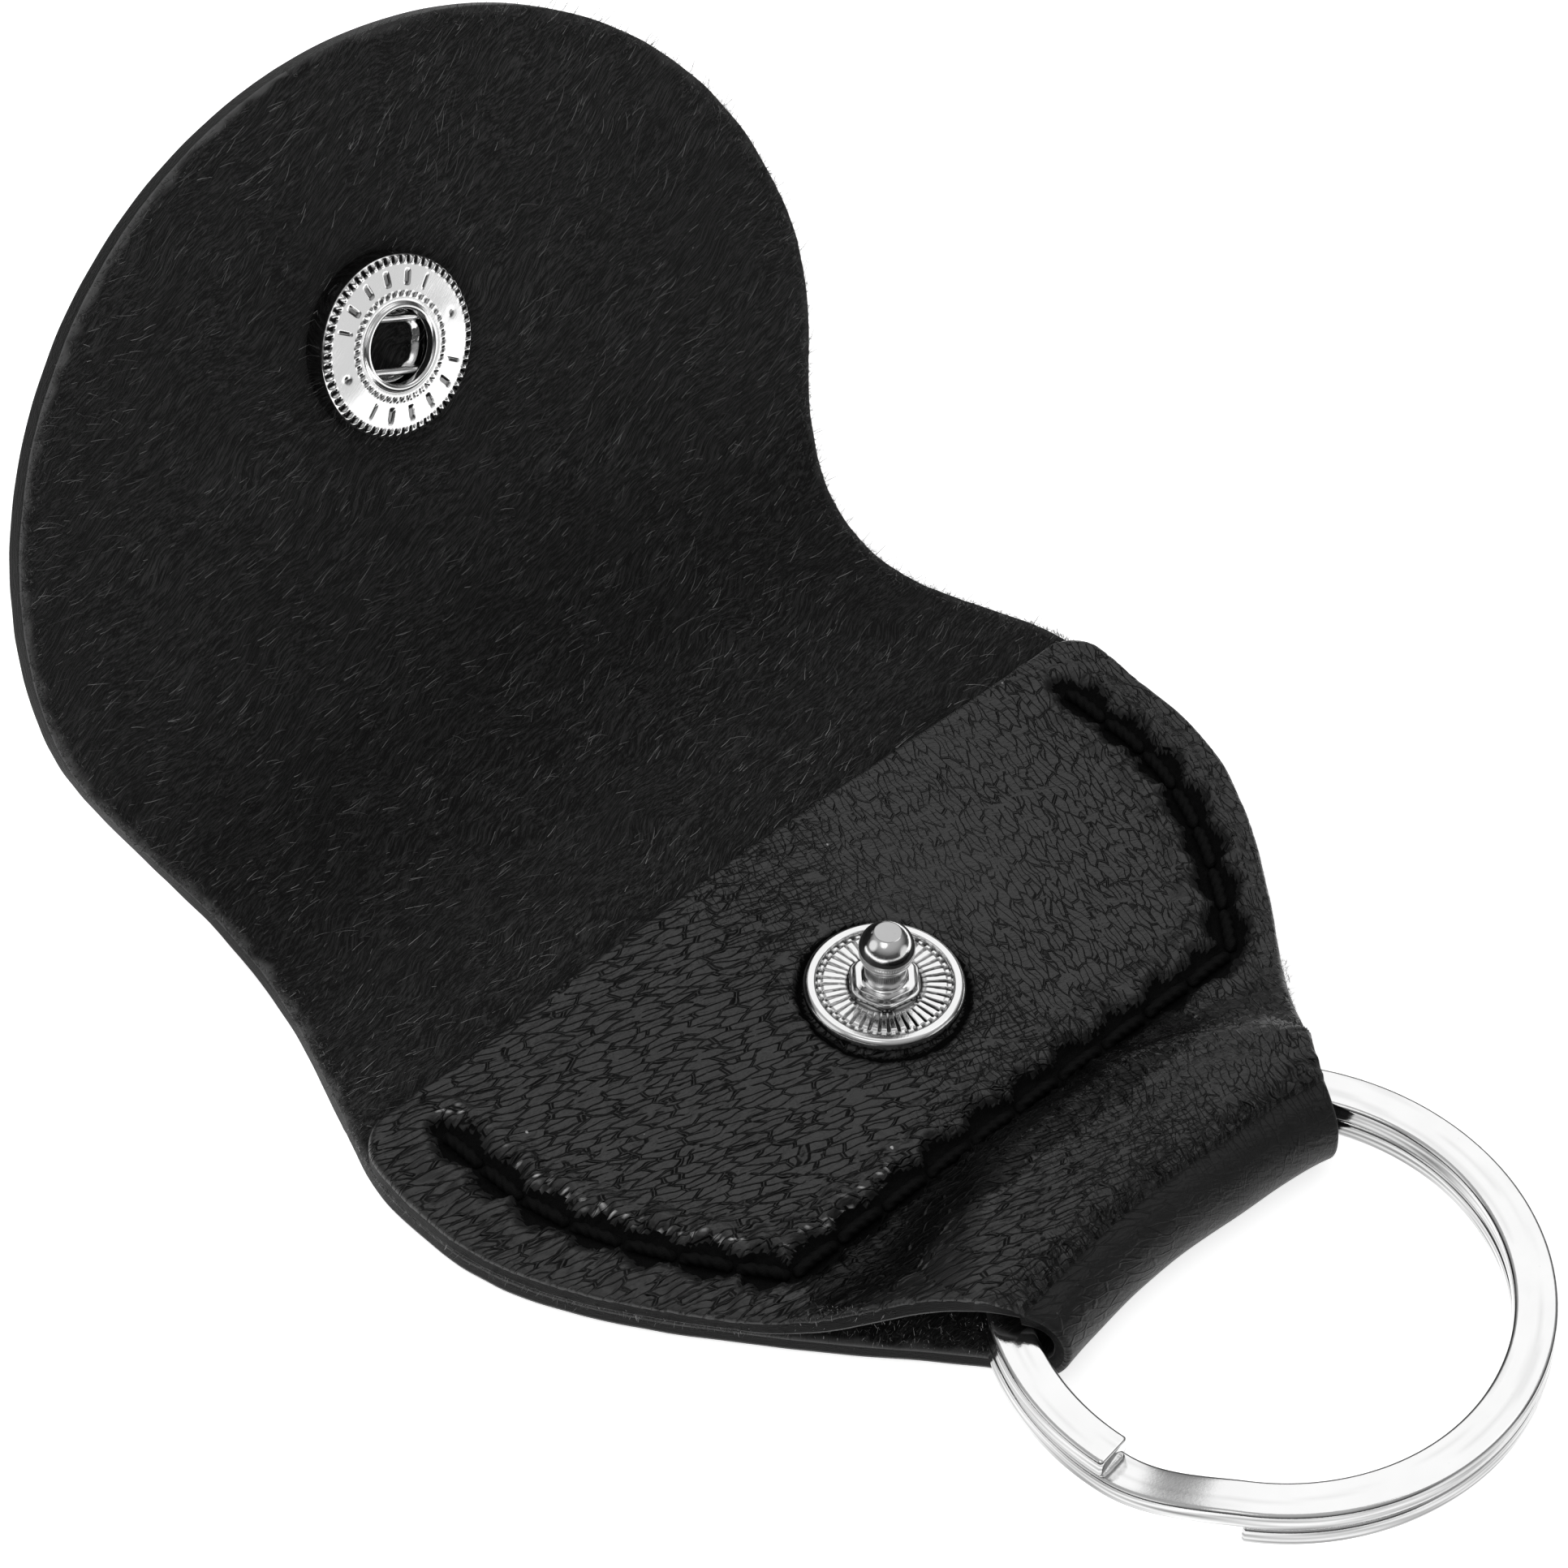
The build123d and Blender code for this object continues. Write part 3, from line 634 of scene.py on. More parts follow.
u, v = turned(X, P, radians(17))
warp = noise(X / 4, P / 4, 31)
cracks = creases(u / 1.9 + warp, v / 0.62 + 0.6 * warp, 33, 0.2)
u2, v2 = turned(X, P, radians(-70))
cracks2 = creases(u2 / 1.6 + warp, v2 / 0.55 + 0.6 * warp, 34, 0.2)
lean = smooth(1, 12, X + 4 * warp)
patch = smooth(-0.30, 0.25, noise(X / 7 + 4.2, P / 7, 36))
calm = 1 - np.exp(-(((X - 7) / 6.5) ** 2 + ((P - 4) / 4.5) ** 2))
wrinkled *= np.where(zone == FRONT, 0.25 + 0.75 * calm, 1)
high -= 0.07 * (cracks * (1 - lean) + cracks2 * lean) * patch * calm * (zone == FRONT)
high += 0.05 * noise(X / 3.1, length / 3.1, 40) + 0.10 * noise(X / 9, length / 9, 41) * (zone >= LOOP)

# loop: ridges across the fold, and a rucked crest
reach_y = FOLD_CENTRE_Y - (length - length[np.argmax(zone[:, 0] == LOOP), 0])
looped = (zone == FOLD) | (zone == LOOP)
crest = np.exp(-((reach_y - FOLD_CENTRE_Y + 0.3) / 1.5) ** 2) * looped
ridge = noise(X / 0.52 + 0.5 * noise(X / 2, reach_y / 2, 51), reach_y / 1.9 + 0.25 * X, 52)
ridge2 = creases(X / 1.1 + P / 1.8 + 0.6 * warp, P / 0.9, 53, 0.3)
high += crest * (0.50 * ridge - 0.06)
high -= 0.09 * ridge2 * upper * smooth(-11.5, -15, P) * (1 - 0.6 * crest)
hump = 0.55 * smooth(-13.5, -19.5, reach_y) * smooth(-25.5, -22.0, reach_y) * looped
high -= 0.14 * np.exp(-((P + 21.6 + 0.6 * warp) / 0.9) ** 2) * (zone == LOOP)
# painted shade in the valleys between the crest's ridges
crease = np.maximum(crease, crest * smooth(0.05, -0.35, ridge) * 0.8)
worn = 0.12 + 0.88 * smooth(FOLD_CENTRE_Y - 3.4, FOLD_CENTRE_Y - 1.4, reach_y)
wrinkled = np.where(zone == FOLD, worn, wrinkled)
# painted shade over the loop's upper layer just below the seam's foot, fading towards both sides; it is also
# made smoother
sleek_painted_shade = upper * smooth(-17.5, -14.0, P + 0.7 * warp) * smooth(15, 7, X + 2 * warp) * smooth(-19.5, -15, X)
wrinkled *= 1 - 0.7 * sleek_painted_shade
shade = np.maximum(0.8 * sleek_painted_shade, (zone == FOLD) * smooth(FOLD_CENTRE_Y - 1.6, FOLD_CENTRE_Y - 3.2, reach_y))
shade = shade + 0.5 * noise(X / 0.14, length / 0.14, 85)

# seat of the stud
from_stud = np.hypot(X, P)
surface = 2 * LEATHER + crown + high
seat = np.where(from_stud < 4.1, STUD_SEAT - 0.04, STUD_SEAT - 0.42)
ragged = 0.30 * noise(np.arctan2(P, X) * 6, from_stud * 0.7, 61)
near = 1 - smooth(4.6, 4.9 + 0.7 * ragged, from_stud)
sunk = seat * near + surface * (1 - near) + 0.10 * peak(from_stud, 5.9, 0.5, 2)
high = np.where((zone == FRONT) & (from_stud < 7.5), sunk - 2 * LEATHER - crown, high)
# painted shade: a dark ring in the recess round the stud
stud_recess_shade = peak(from_stud, 4.6, 0.24, 4) * (zone == FRONT)
crease = np.maximum(crease, stud_recess_shade)
deep = np.maximum(deep, stud_recess_shade)

# seat of the cap on the flap's grain side, and of the socket on its flesh side
from_snap = np.hypot(X, P - SNAP_AT) + 99 * (zone > BACK)
high -= 0.22 * peak(from_snap, 6.5, 0.5, 2) + 0.06 * (from_snap < 6.2)
low = 0.05 * noise(X / 5, length / 5, 71) + 0.03 * noise(X / 0.9, length / 0.5, 72)
low -= 0.30 * (1 - smooth(5.15, 5.8, from_snap + 0.25 * noise(X / 1.3, P / 1.3, 73)))
low += 0.08 * peak(from_snap, 6.4, 0.6, 2)
low = np.where(zone == BACK, low, 0.4 * low)
covered = ((zone == BACK) & (P < MOUTH_Y + 1)) | (zone == FRONT)
low = np.where(covered, -0.03, low)
low = np.where((zone == FRONT) & (from_stud < 7.5), 0, low)

# rounded edges
EDGE_ROUND, FRONT_ROUND = 0.13, 0.34
round_ = np.where((zone == BACK) & (P > 14), EDGE_ROUND, FRONT_ROUND)
drop = np.clip(round_ - edge, 0, round_)
high -= round_ - np.sqrt(round_ ** 2 - drop ** 2)
drop = np.clip(EDGE_ROUND - edge, 0, EDGE_ROUND)
low -= EDGE_ROUND - np.sqrt(EDGE_ROUND ** 2 - drop ** 2)
lift = crown * 0.96
wobble = 0.05 * noise(length / 2.0 + 40 * (X > 0), 0.3, 75) * (1 - smooth(0, 0.8, edge))


def hide_points(offset, raise_):
    """The grid's points at an offset along the normal from the middle of the hide."""
    x = X + np.sign(X) * wobble + shift + NORMAL_X * offset
    y = mid_y + NORMAL_Y * offset
    z = mid_z + rise + NORMAL_Z * offset + raise_
    pull = np.where(P < -10, fold_pull(X, np.minimum(mid_y, -10) + 0 * X), 0)
    return np.stack([x, y + pull, z], -1)


grain_points = hide_points(LEATHER / 2 + high + hump, crown)
flesh_points = hide_points(-LEATHER / 2 - low + hump, lift)
grain_points[..., 2] = np.maximum(grain_points[..., 2], 0.0)
count_rows, count_cols = X.shape
size = count_rows * count_cols
hide_faces = [grid(count_rows, count_cols)[:, ::-1], grid(count_rows, count_cols, size)]
# painted shade: faces in the seam's ditch and round the stud take the near-black copy, and shaded faces take
# the matt copy
is_deep, is_shaded = (values.ravel()[hide_faces[0]].mean(1) > 0.5 for values in (deep, shade))
slots = [np.where(is_deep, SHADED_CHANNEL, np.where(is_shaded, SHADED_GRAIN, GRAIN)), np.full(len(hide_faces[1]), SUEDE)]

# cut edge: the loop of border points on each side, joined through two rows
border = np.r_[np.arange(count_cols), (np.arange(1, count_rows) + 1) * count_cols - 1,
               (count_rows - 1) * count_cols + np.arange(count_cols - 2, -1, -1),
               np.arange(count_rows - 2, 0, -1) * count_cols]
top, bottom = grain_points.reshape(-1, 3)[border], flesh_points.reshape(-1, 3)[border]
walls = []
for share in (0.3, 0.62):
    drift = share + 0.08 * noise(np.arange(len(border)) / 2.5, share * 9, 77)
    walls.append(top + (bottom - top) * drift[:, None])
n = len(border)
ring_index = [border, 2 * size + np.arange(n), 2 * size + n + np.arange(n), size + border]
for a, b in zip(ring_index, ring_index[1:]):
    hide_faces.append(np.stack([a, np.roll(a, -1), np.roll(b, -1), b], -1))
    slots.append(np.full(n, EDGE))
hide_xyz = np.concatenate([grain_points.reshape(-1, 3), flesh_points.reshape(-1, 3), *walls])
flat_field = np.stack([X, length, 0 * X], -1).reshape(-1, 3)
fringe = (1 - smooth(0.05, 0.6, edge + 0.35 * noise(X / 1.2, length / 1.2, 79))) * np.where(X < 0, 0.8, 0.3)
fields = {"hide": np.concatenate([flat_field, flat_field + (0, 0, LEATHER),
                                  flat_field[border] + (0, 0, 0.3), flat_field[border] + (0, 0, 0.7)])}
on_grain = {"crease": crease, "wrinkled": wrinkled, "ruck": crest, "sleek_painted_shade": sleek_painted_shade, "glint": glint}
for key, values in on_grain.items():
    fields[key] = np.concatenate([values.ravel(), np.zeros(size + 2 * n)])
fields["fringe"] = np.concatenate([np.zeros(size), fringe.ravel(), np.zeros(2 * n)])


# ---- loose fibres of the flesh side ----
NAP_COUNT, EDGE_COUNT, SEAM_COUNT = 26000, 9000, 5200
RIBBON_STEPS = (0, 0.36, 0.7, 1.0)


def ribbons(points):
    """Points and faces of ribbons, from the left and right points at four places along every one."""
    points = np.stack(points, 1)
    first = np.arange(len(points))[:, None] * 8
    faces = np.concatenate([first + (2 * k, 2 * k + 1, 2 * k + 3, 2 * k + 2) for k in range(3)])
    return points.reshape(-1, 3), faces


def strands(x, along, angle, long, lift, width):
    """Ribbons of four points that lie on the open flesh side, start at (x, along) and run at an angle."""
    points, curl = [], RNG.normal(0, 0.16, len(x))
    for t in RIBBON_STEPS:
        heading = angle + curl * t
        px = x + long * t * np.cos(heading)
        pa = along + long * t * np.sin(heading)
        rise = lift * sin(pi * min(1, 0.15 + t * 0.75)) - 0.015
        thin = width * (1 - 0.75 * t ** 2) / 2
        for side in (-1, 1):
            qx, qa = px - side * thin * np.sin(heading), pa + side * thin * np.cos(heading)
            y, z = flap_place(qa, -rise)
            points.append(np.stack([qx, y, z], -1))
    return ribbons(points)


def nap():
    """Fibres over the flesh side, more and paler ones along the edge."""
    along = RNG.uniform(MOUTH_Y + 0.8, FLAP_WIDEST_AT + FLAP_NOSE - 0.4, NAP_COUNT)
    x = RNG.uniform(-1, 1, len(along)) * (half_width(along) - 0.15)
    keep = (np.hypot(x, along - SNAP_AT) > 5.2) & (RNG.random(len(along)) < half_width(along) / FLAP_HALF)
    x, along = x[keep], along[keep]
    lean = radians(8) + radians(26) * smooth(30, 62, along) * smooth(-20, 18, x)
    lean -= radians(12) * smooth(5, -24, x)
    lean += 0.45 * noise(x / 8, along / 8, 81) + RNG.normal(0, 0.20, len(x))
    long = RNG.uniform(0.35, 1.6, len(x))
    pale = RNG.random(len(x)) ** 7 * 0.55 + 0.01
    first = strands(x, along, lean, long, RNG.uniform(0.02, 0.06, len(x)), RNG.uniform(0.012, 0.032, len(x)))
    along = RNG.uniform(MOUTH_Y + 0.4, FLAP_WIDEST_AT + FLAP_NOSE - 0.2, EDGE_COUNT)
    side = RNG.choice([-1.0, 1.0], len(along))
    inward_by = np.abs(RNG.normal(0.15, 0.45, len(along)))
    places = np.linspace(MOUTH_Y - 0.4, FLAP_WIDEST_AT + FLAP_NOSE - 0.2, 600)
    slant = np.interp(along, places, np.clip(np.gradient(half_width(places), places[1] - places[0]), -6, 6))
    x = side * (half_width(along) - inward_by * np.sqrt(1 + slant ** 2))
    heading = RNG.uniform(-pi, pi, len(along))
    long = RNG.uniform(0.08, 0.34, len(along))
    second = strands(x, along, heading, long, RNG.uniform(0.02, 0.07, len(along)),
                     RNG.uniform(0.014, 0.032, len(along)))
    edge_pale = RNG.random(len(along)) ** 4 * 0.4 + 0.01
    return [first, second], np.repeat(np.r_[pale, edge_pale], 8)


def seam_fuzz():
    """Pale fibres in the joint between the two layers, along both sides of the pocket."""
    y = RNG.uniform(-22, MOUTH_Y + 1.5, SEAM_COUNT)
    side = RNG.choice([-1.0, 1.0], len(y))
    apart = np.where(y < -11.5, RNG.uniform(0.0, 3.0, len(y)) * smooth(-11.5, -14.2, y), 0)
    x = side * (half_width(y) - 0.12 + RNG.normal(0, 0.05, len(y))) + side_shift(y, side < 0)
    root = np.stack([x, y, LEATHER + apart], -1)
    root[:, 2] += RNG.normal(0, 0.10, len(y))
    heading, tilt = RNG.normal(0, 1.0, len(y)), RNG.normal(0, 0.6, len(y))
    way = np.stack([side * np.cos(heading) * np.cos(tilt), np.sin(heading) * np.cos(tilt), np.sin(tilt)], -1)
    long = RNG.uniform(0.08, 0.42, len(y))[:, None]
    across = np.cross(way, (0.2, 0.5, 0.84))
    across *= (RNG.uniform(0.02, 0.045, len(y)) / np.linalg.norm(across, axis=1))[:, None] / 2
    points = []
    for t in RIBBON_STEPS:
        middle_ = root + way * long * t + (0, 0, 0.05 * t * t)
        points += [middle_ - across * (1 - 0.7 * t), middle_ + across * (1 - 0.7 * t)]
    return ribbons(points), np.repeat(RNG.random(len(y)) ** 2 * 0.8 + 0.08, 8)


hairs, hair_pale = nap()
seam_hairs, seam_pale = seam_fuzz()
hairs.append(seam_hairs)
hair_pale = np.r_[hair_pale, seam_pale]
base = len(hide_xyz)            # the first point of the next batch of fibres
for points, faces in hairs:
    hide_faces.append(faces + base)
    slots.append(np.full(len(faces), FIBRES))
    base += len(points)
hair_xyz = np.concatenate([p for p, f in hairs])
fields["hide"] = np.concatenate([fields["hide"], hair_xyz])
for key in ("crease", "wrinkled", "ruck", "sleek_painted_shade", "glint", "fringe"):
    fields[key] = np.r_[fields[key], np.zeros(len(hair_xyz))]
fields["pale"] = np.r_[np.zeros(len(hide_xyz)), hair_pale]
hide = make("leather_strip", np.concatenate([hide_xyz, hair_xyz]), np.concatenate(hide_faces),
            [grain, suede, cut_edge, fibres, channel, shaded_grain], np.concatenate(slots), fields)
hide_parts("back_panel", "pocket_front", "ring_loop", "flap_bend", "flap")
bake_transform(hide)


# ---- thread ----
def stitches(level, dip):
    """Three-ply stitches along the seam, at a level, whose ends turn into the leather by dip."""
    parts = []

    def ply(length_, total, angle):
        fade_ = min(1.0, 0.55 + 3 * min(length_, total - length_))
        return fade_ * (1 + 0.13 * np.cos(3 * (angle - length_ * 3.4)))

    for part in seam_line():
        run = distances(part)
        count = round(run[-1] / STITCH_PITCH)
        for k in range(count):
            at = np.linspace((k + 0.07) / count, (k + 0.93) / count, 26) * run[-1]
            x, y = np.interp(at, run, part[:, 0]), np.interp(at, run, part[:, 1])
            t = np.linspace(-1, 1, 26)
            sag = np.abs(t) ** 5 * dip + RNG.normal(0, 0.03)
            parts.append(tube(np.stack([x, y, level + sag], -1), 0.33, 18, ply))
    return joined(parts)


for name, level, dip in (("needle_thread", 1.72, -0.4), ("bobbin_thread", 0.36, 0.35)):
    points, faces = stitches(level, dip)
    piece = make(name + "_twisted", points, faces, [thread], fields={"hide": points})
    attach(piece, "pouch")
    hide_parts(name)


# ---- snap stud ----
def stud_shift(r, z, angle):
    """Flutes, slots, the collar's flats and small unevenness."""
    on_plate = (z < 3.7) & (z > 3.3) & (r > 2.05) & (r < 3.62)
    wave = smooth(-0.85, -0.35, np.cos(STUD_FLUTES * angle + 0.5 * noise(angle * 6.4, r, 3)))
    flute = on_plate * 0.22 * (wave - 0.75) * smooth(2.05, 2.4, r) * (1 - smooth(3.3, 3.5, r))
    slot_ = (np.cos(STUD_SLOTS * angle) > 0.1) * peak(r, 3.62, 0.11, 4) * (z > 3.2)
    flat = np.abs((angle + 0.2) % (pi / 3) - pi / 6)
    hexed = (1 / np.cos(np.minimum(flat, 0.44)) - 1.05)
    collar = ((r > 1.3) & (r < 2.02) & (z > 3.62) & (z < 4.3)) * hexed * r
    return collar, flute - 0.42 * slot_


ball = np.radians(np.linspace(62, -42, 40))
profile_r = np.r_[0.02, 0.35, 0.62, BALL * np.cos(ball)]
profile_z = np.r_[7.80, 7.80, 7.795, BALL_LEVEL + BALL * np.sin(ball)]
rest_r, rest_z = rounded(
    [(1.15, 5.3), (1.15, 4.32), (1.3, 4.2), (1.72, 4.2), (1.74, 3.93), (1.98, 3.9), (2.0, 3.58), (3.66, 3.58),
     (3.68, 3.42)], 0.1, 0.06)
rim_r, rim_z = rounded(
    [(3.70, 3.42), (3.76, 3.70), (4.22, 3.72), (4.42, 3.50), (4.42, 3.05), (4.2, 2.87),
     (3.2, 2.87)], 0.12, 0.06)
profile_r = np.r_[profile_r, rest_r, rim_r, 1.5, 0.02]
profile_z = np.r_[profile_z, rest_z, rim_z, 2.87, 2.87]
points, faces = revolve(profile_r, profile_z, stud_shift, 720)
from_axis, turn_at = polar(points)
# painted shade on the stud: the flute gaps, darker on one side, the slots, the collar's edges, the post under
# the ball and the ball's flat top
gaps = smooth(0.35, 0.7, -np.cos(STUD_FLUTES * turn_at + 0.5 * noise(turn_at % (2 * pi) * 6.4, from_axis, 3)))
gaps *= 0.35 + 0.65 * smooth(0.2, 0.9, np.cos(turn_at + 1.35))
painted_shade = gaps * smooth(2.1, 2.4, from_axis) * (1 - smooth(3.45, 3.52, from_axis))
painted_shade += 0.95 * (np.cos(STUD_SLOTS * turn_at) > 0.1) * peak(from_axis, 3.62, 0.10, 4)
painted_shade *= points[:, 2] > 3.0
painted_shade += 0.85 * peak(from_axis, 2.06, 0.09, 4) + 0.8 * peak(from_axis, 1.76, 0.05, 4)
painted_shade += 0.7 * (from_axis < 1.4) * peak(points[:, 2], 5.05, 0.32, 4)
painted_shade += 0.45 * (points[:, 2] > 7.79)
stud = make("snap_stud_fluted", points, faces, [snap_metal],
            fields={"hide": points, "painted_shade": np.clip(painted_shade, 0, 1) * (points[:, 2] > 3.0)})
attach(stud, "pouch")
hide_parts("snap_stud")

# ---- snap socket, its spring and the cap ----
snap_y, snap_z = flap_place(SNAP_AT, 0)
snap_origin = np.array((0, float(snap_y), float(snap_z)))
tangent = np.array((0, cos(FLAP_ANGLE), sin(FLAP_ANGLE)))
inward = np.array((0, -sin(FLAP_ANGLE), cos(FLAP_ANGLE)))


def on_flap(points):
    """Points in the snap's own axes, moved to the open flap."""
    points = np.asarray(points)
    return snap_origin + points[:, :1] * (1, 0, 0) + points[:, 1:2] * tangent + points[:, 2:] * inward


def socket_marks(r, angle):
    """Sunk bars over the upper and lower arcs of the face and a dot on each side, as heights 0 to 1."""
    from_top = np.abs((angle - pi / 2 + pi) % (2 * pi) - pi)
    arc = np.minimum(from_top, pi - from_top)
    place_ = (arc / 0.36) % 1 - 0.5
    bars = np.exp(-(place_ * 0.36 * r / 0.17) ** 4) * (arc < 0.90)
    bars = bars * peak(r, MARKS_AT, 0.40, 6)
    dots = np.exp(-(((pi / 2 - arc) * r) ** 2 + (r - MARKS_AT) ** 2) / 0.2 ** 2)
    return bars + dots


def socket_shift(r, z, angle):
    """Beads round both edges, the marks between them, and dents."""
    face = (z > 1.15) & (r > 2.55)
    outer = peak(r, 4.80, 0.19, 4) * 0.07 * np.cos(SOCKET_BEADS * angle)
    inner_ = peak(r, 2.95, 0.13, 4) * 0.04 * np.cos(SOCKET_INNER_BEADS * angle)
    dents = 0.03 * noise(r * np.cos(angle) / 2.2, r * np.sin(angle) / 2.2, 91)
    return 0 * r, face * (outer + inner_ - 0.08 * socket_marks(r, angle) + dents)


sock_r, sock_z = rounded(
    [(5.06, -0.28), (5.08, 0.1), (5.10, 1.20), (4.88, 1.33), (2.66, 1.52), (2.50, 1.50), (2.44, 1.68),
     (2.28, 1.74), (2.12, 1.66), (2.08, 1.2), (2.12, 1.1), (2.45, 1.1), (4.75, 1.02), (4.83, 0.9), (4.8, 0.0),
     (4.75, -0.26)], 0.1, 0.055)
points, faces = revolve(sock_r, sock_z, socket_shift, SOCKET_STEPS)
last = (len(sock_r) - 1) * SOCKET_STEPS
for k in range(SOCKET_STEPS):
    after = (k + 1) % SOCKET_STEPS
    faces.append([last + k, last + after, after, k])
r_at, turn_at = polar(points)
# painted shade on the socket: between the beads, in the sunk marks and on the outer side wall
painted_shade = smooth(-0.1, 0.5, -np.cos(SOCKET_BEADS * turn_at)) * smooth(4.58, 4.64, r_at)
painted_shade *= 1 - 0.7 * smooth(5.0, 5.06, r_at)
painted_shade += smooth(0.2, 0.7, -np.cos(SOCKET_INNER_BEADS * turn_at)) * peak(r_at, 2.95, 0.12, 4) * 0.8
painted_shade += 0.75 * smooth(0.3, 0.8, socket_marks(r_at, turn_at))
painted_shade *= points[:, 2] > 1.1
painted_shade += 0.35 * (r_at > 5.0) * (points[:, 2] < 1.1)
socket = make("snap_socket_beaded", on_flap(points), faces, [snap_metal],
              fields={"hide": points, "painted_shade": np.clip(painted_shade, 0, 1)})
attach(socket, "flap")
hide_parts("snap_socket")

bow = np.radians(np.linspace(90, -90, 22))
legs = np.linspace(-3.05, 1.55, 18)
LEG_GAP, WIRE_LEVEL, WIRE_RADIUS = 1.48, 0.82, 0.23
wire_x = np.r_[legs, 1.62 + 1.46 * np.cos(bow)[1:-1], legs[::-1]]
wire_y = LEG_GAP * np.r_[1 + 0 * legs, np.sin(bow)[1:-1], -1 + 0 * legs]
wire_path = np.stack([*turned(wire_x, wire_y, -SPRING_TURN), WIRE_LEVEL + 0 * wire_x], -1)
points, faces = tube(wire_path, WIRE_RADIUS, 20)
spring = make("socket_spring_wire", on_flap(points), faces, [wire_metal], fields={"hide": points})
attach(spring, "flap")
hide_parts("socket_spring")


def cap_shift(r, z, angle):
    """The split and slightly crushed end of the stem, its uneven bore, and slight dents over the dome."""
    crushed = (z > 0.2) & (r < 2.6)
    petals = np.abs(np.sin(3.5 * angle + 1.2 * noise(angle * 2, 0.5, 95)))
    bore = (z > -2.2) & (z < 0.5) & (r > 1.0) & (r < 1.9)
    swirl = noise(angle * 1.9 + z * 1.3, z * 1.1, 96) + 0.5 * noise(angle * 5.1 + z * 2, z * 2, 97)
    curl = crushed * smooth(0.1, 0.9, -np.cos(angle + 0.3)) * (0.8 + 0.4 * noise(angle * 3, r, 99))
    dents = noise(r * np.cos(angle) / 3, r * np.sin(angle) / 3, 98) * (z < -1.4)
    return (-0.06 * (1 - petals) * crushed - 0.06 * curl - 0.05 * np.clip(swirl, -0.2, 1) * bore,
            -0.07 * (1 - petals) * crushed + 0.1 * curl + 0.02 * dents)


dome_r = np.linspace(0.02, 6.0, 60)
dome_z = -2.85 + 1.3 * (dome_r / 6.2) ** 2 * (0.75 + 0.25 * (dome_r / 6.2) ** 2)
end_r, end_z = rounded(
    [(6.0, dome_z[-1]), (6.22, -1.42), (6.2, -1.12), (5.8, -1.1), (2.06, -1.1), (2.05, 0.28), (2.5, 0.3),
     (2.5, 0.52), (2.05, 0.56), (1.75, 0.3), (1.72, -2.2), (0.9, -2.4), (0.02, -2.4)], 0.12, 0.1)
points, faces = revolve(np.r_[dome_r[:-1], end_r], np.r_[dome_z[:-1], end_z], cap_shift, 360)
points[:, 0] *= -1
cap = make("snap_cap_domed", on_flap(points), faces, [cap_metal], fields={"hide": points})
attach(cap, "flap")
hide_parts("snap_cap")

# ---- split ring ----
ring_low, ring_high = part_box("split_ring")
ring_x = (ring_low.x + ring_high.x) / 2 / MM
ring_y = (ring_low.y + ring_high.y) / 2 / MM
lowest = ring_low.z / MM + RING_OUTER * tan(RING_TILT)
swept = np.linspace(0, RING_SWEEP, 1150)
turn = np.radians(RING_START - swept)
coil = (RING_WIRE + 0.02) * (1 - smooth(STEP_FROM, STEP_TO, swept))
width, tall, corner_r = RING_OUTER + RING_PROUD - RING_INNER, RING_WIRE, 0.28
section = []
for side_x, side_z, start in ((1, 1, 0), (-1, 1, 90), (-1, -1, 180), (1, -1, 270)):
    for a in np.radians(np.linspace(start, start + 90, 7)):
        section.append((side_x * (width / 2 - corner_r) + corner_r * cos(a),
                        side_z * (tall / 2 - corner_r) + corner_r * sin(a)))
filled = []
for here, after in zip(section, section[1:] + section[:1]):
    count = 8 if np.hypot(after[0] - here[0], after[1] - here[1]) > 0.3 else 1
    filled += [(here[0] + (after[0] - here[0]) * k / count, here[1] + (after[1] - here[1]) * k / count)
               for k in range(count)]
section = np.array(filled)
taper = np.minimum(1, 0.90 + np.minimum(swept, RING_SWEEP - swept) / 6)[:, None]
radial = (RING_INNER + RING_OUTER + RING_PROUD) / 2 + section[None, :, 0] * taper
radial = radial + 0.02 * noise(swept / 40, 0.2, 99)[:, None]
upward = coil[:, None] + tall / 2 + section[None, :, 1] * taper
ring_local = np.stack([radial * np.cos(turn)[:, None], radial * np.sin(turn)[:, None], upward], -1)
ring_local = ring_local.reshape(-1, 3)
sides = len(section)
ring_world = ring_local @ np.array(Matrix.Rotation(RING_TILT, 3, "X")).T
ring_world += (ring_x, ring_y, lowest)
run_field = np.stack([np.repeat(np.radians(swept) * 14, sides), ring_local[:, 2], radial.ravel()], -1)
out_share, up_share = section[None, :, 0] / (width / 2), section[None, :, 1] / (tall / 2)
# painted reflection and shade on the ring: dark lines along the edges, darker on the underside, streaks on
# the walls and faint streaks on top
at_edge = smooth(0.80, 1.0, np.abs(out_share)) * smooth(0.55, 0.98, np.abs(up_share))
on_wall = smooth(0.90, 1.0, np.abs(out_share)) * (1 - at_edge)
streak = noise(up_share * 3.5 + 9 * (out_share > 0), swept[:, None] / 22, 101)
ring_painted_reflection = at_edge * np.where(up_share > 0, 0.40, 0.80) * (0.75 + 0.5 * noise(swept / 9, 0.4, 102))[:, None]
ring_painted_reflection = ring_painted_reflection + on_wall * (0.42 + 0.5 * np.clip(streak, -0.5, 1))
ring_painted_reflection = ring_painted_reflection + 0.12 * smooth(0.1, 0.5, noise(out_share * 2.5, swept[:, None] / 30, 103)) * (1 - on_wall)
split_ring = make("split_ring_coil", ring_world, capped(len(swept), sides), [ring_metal],
                  fields={"hide": run_field, "painted_shade": np.clip(ring_painted_reflection, 0, 1).ravel()})
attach(split_ring, "ring")
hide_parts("split_ring")

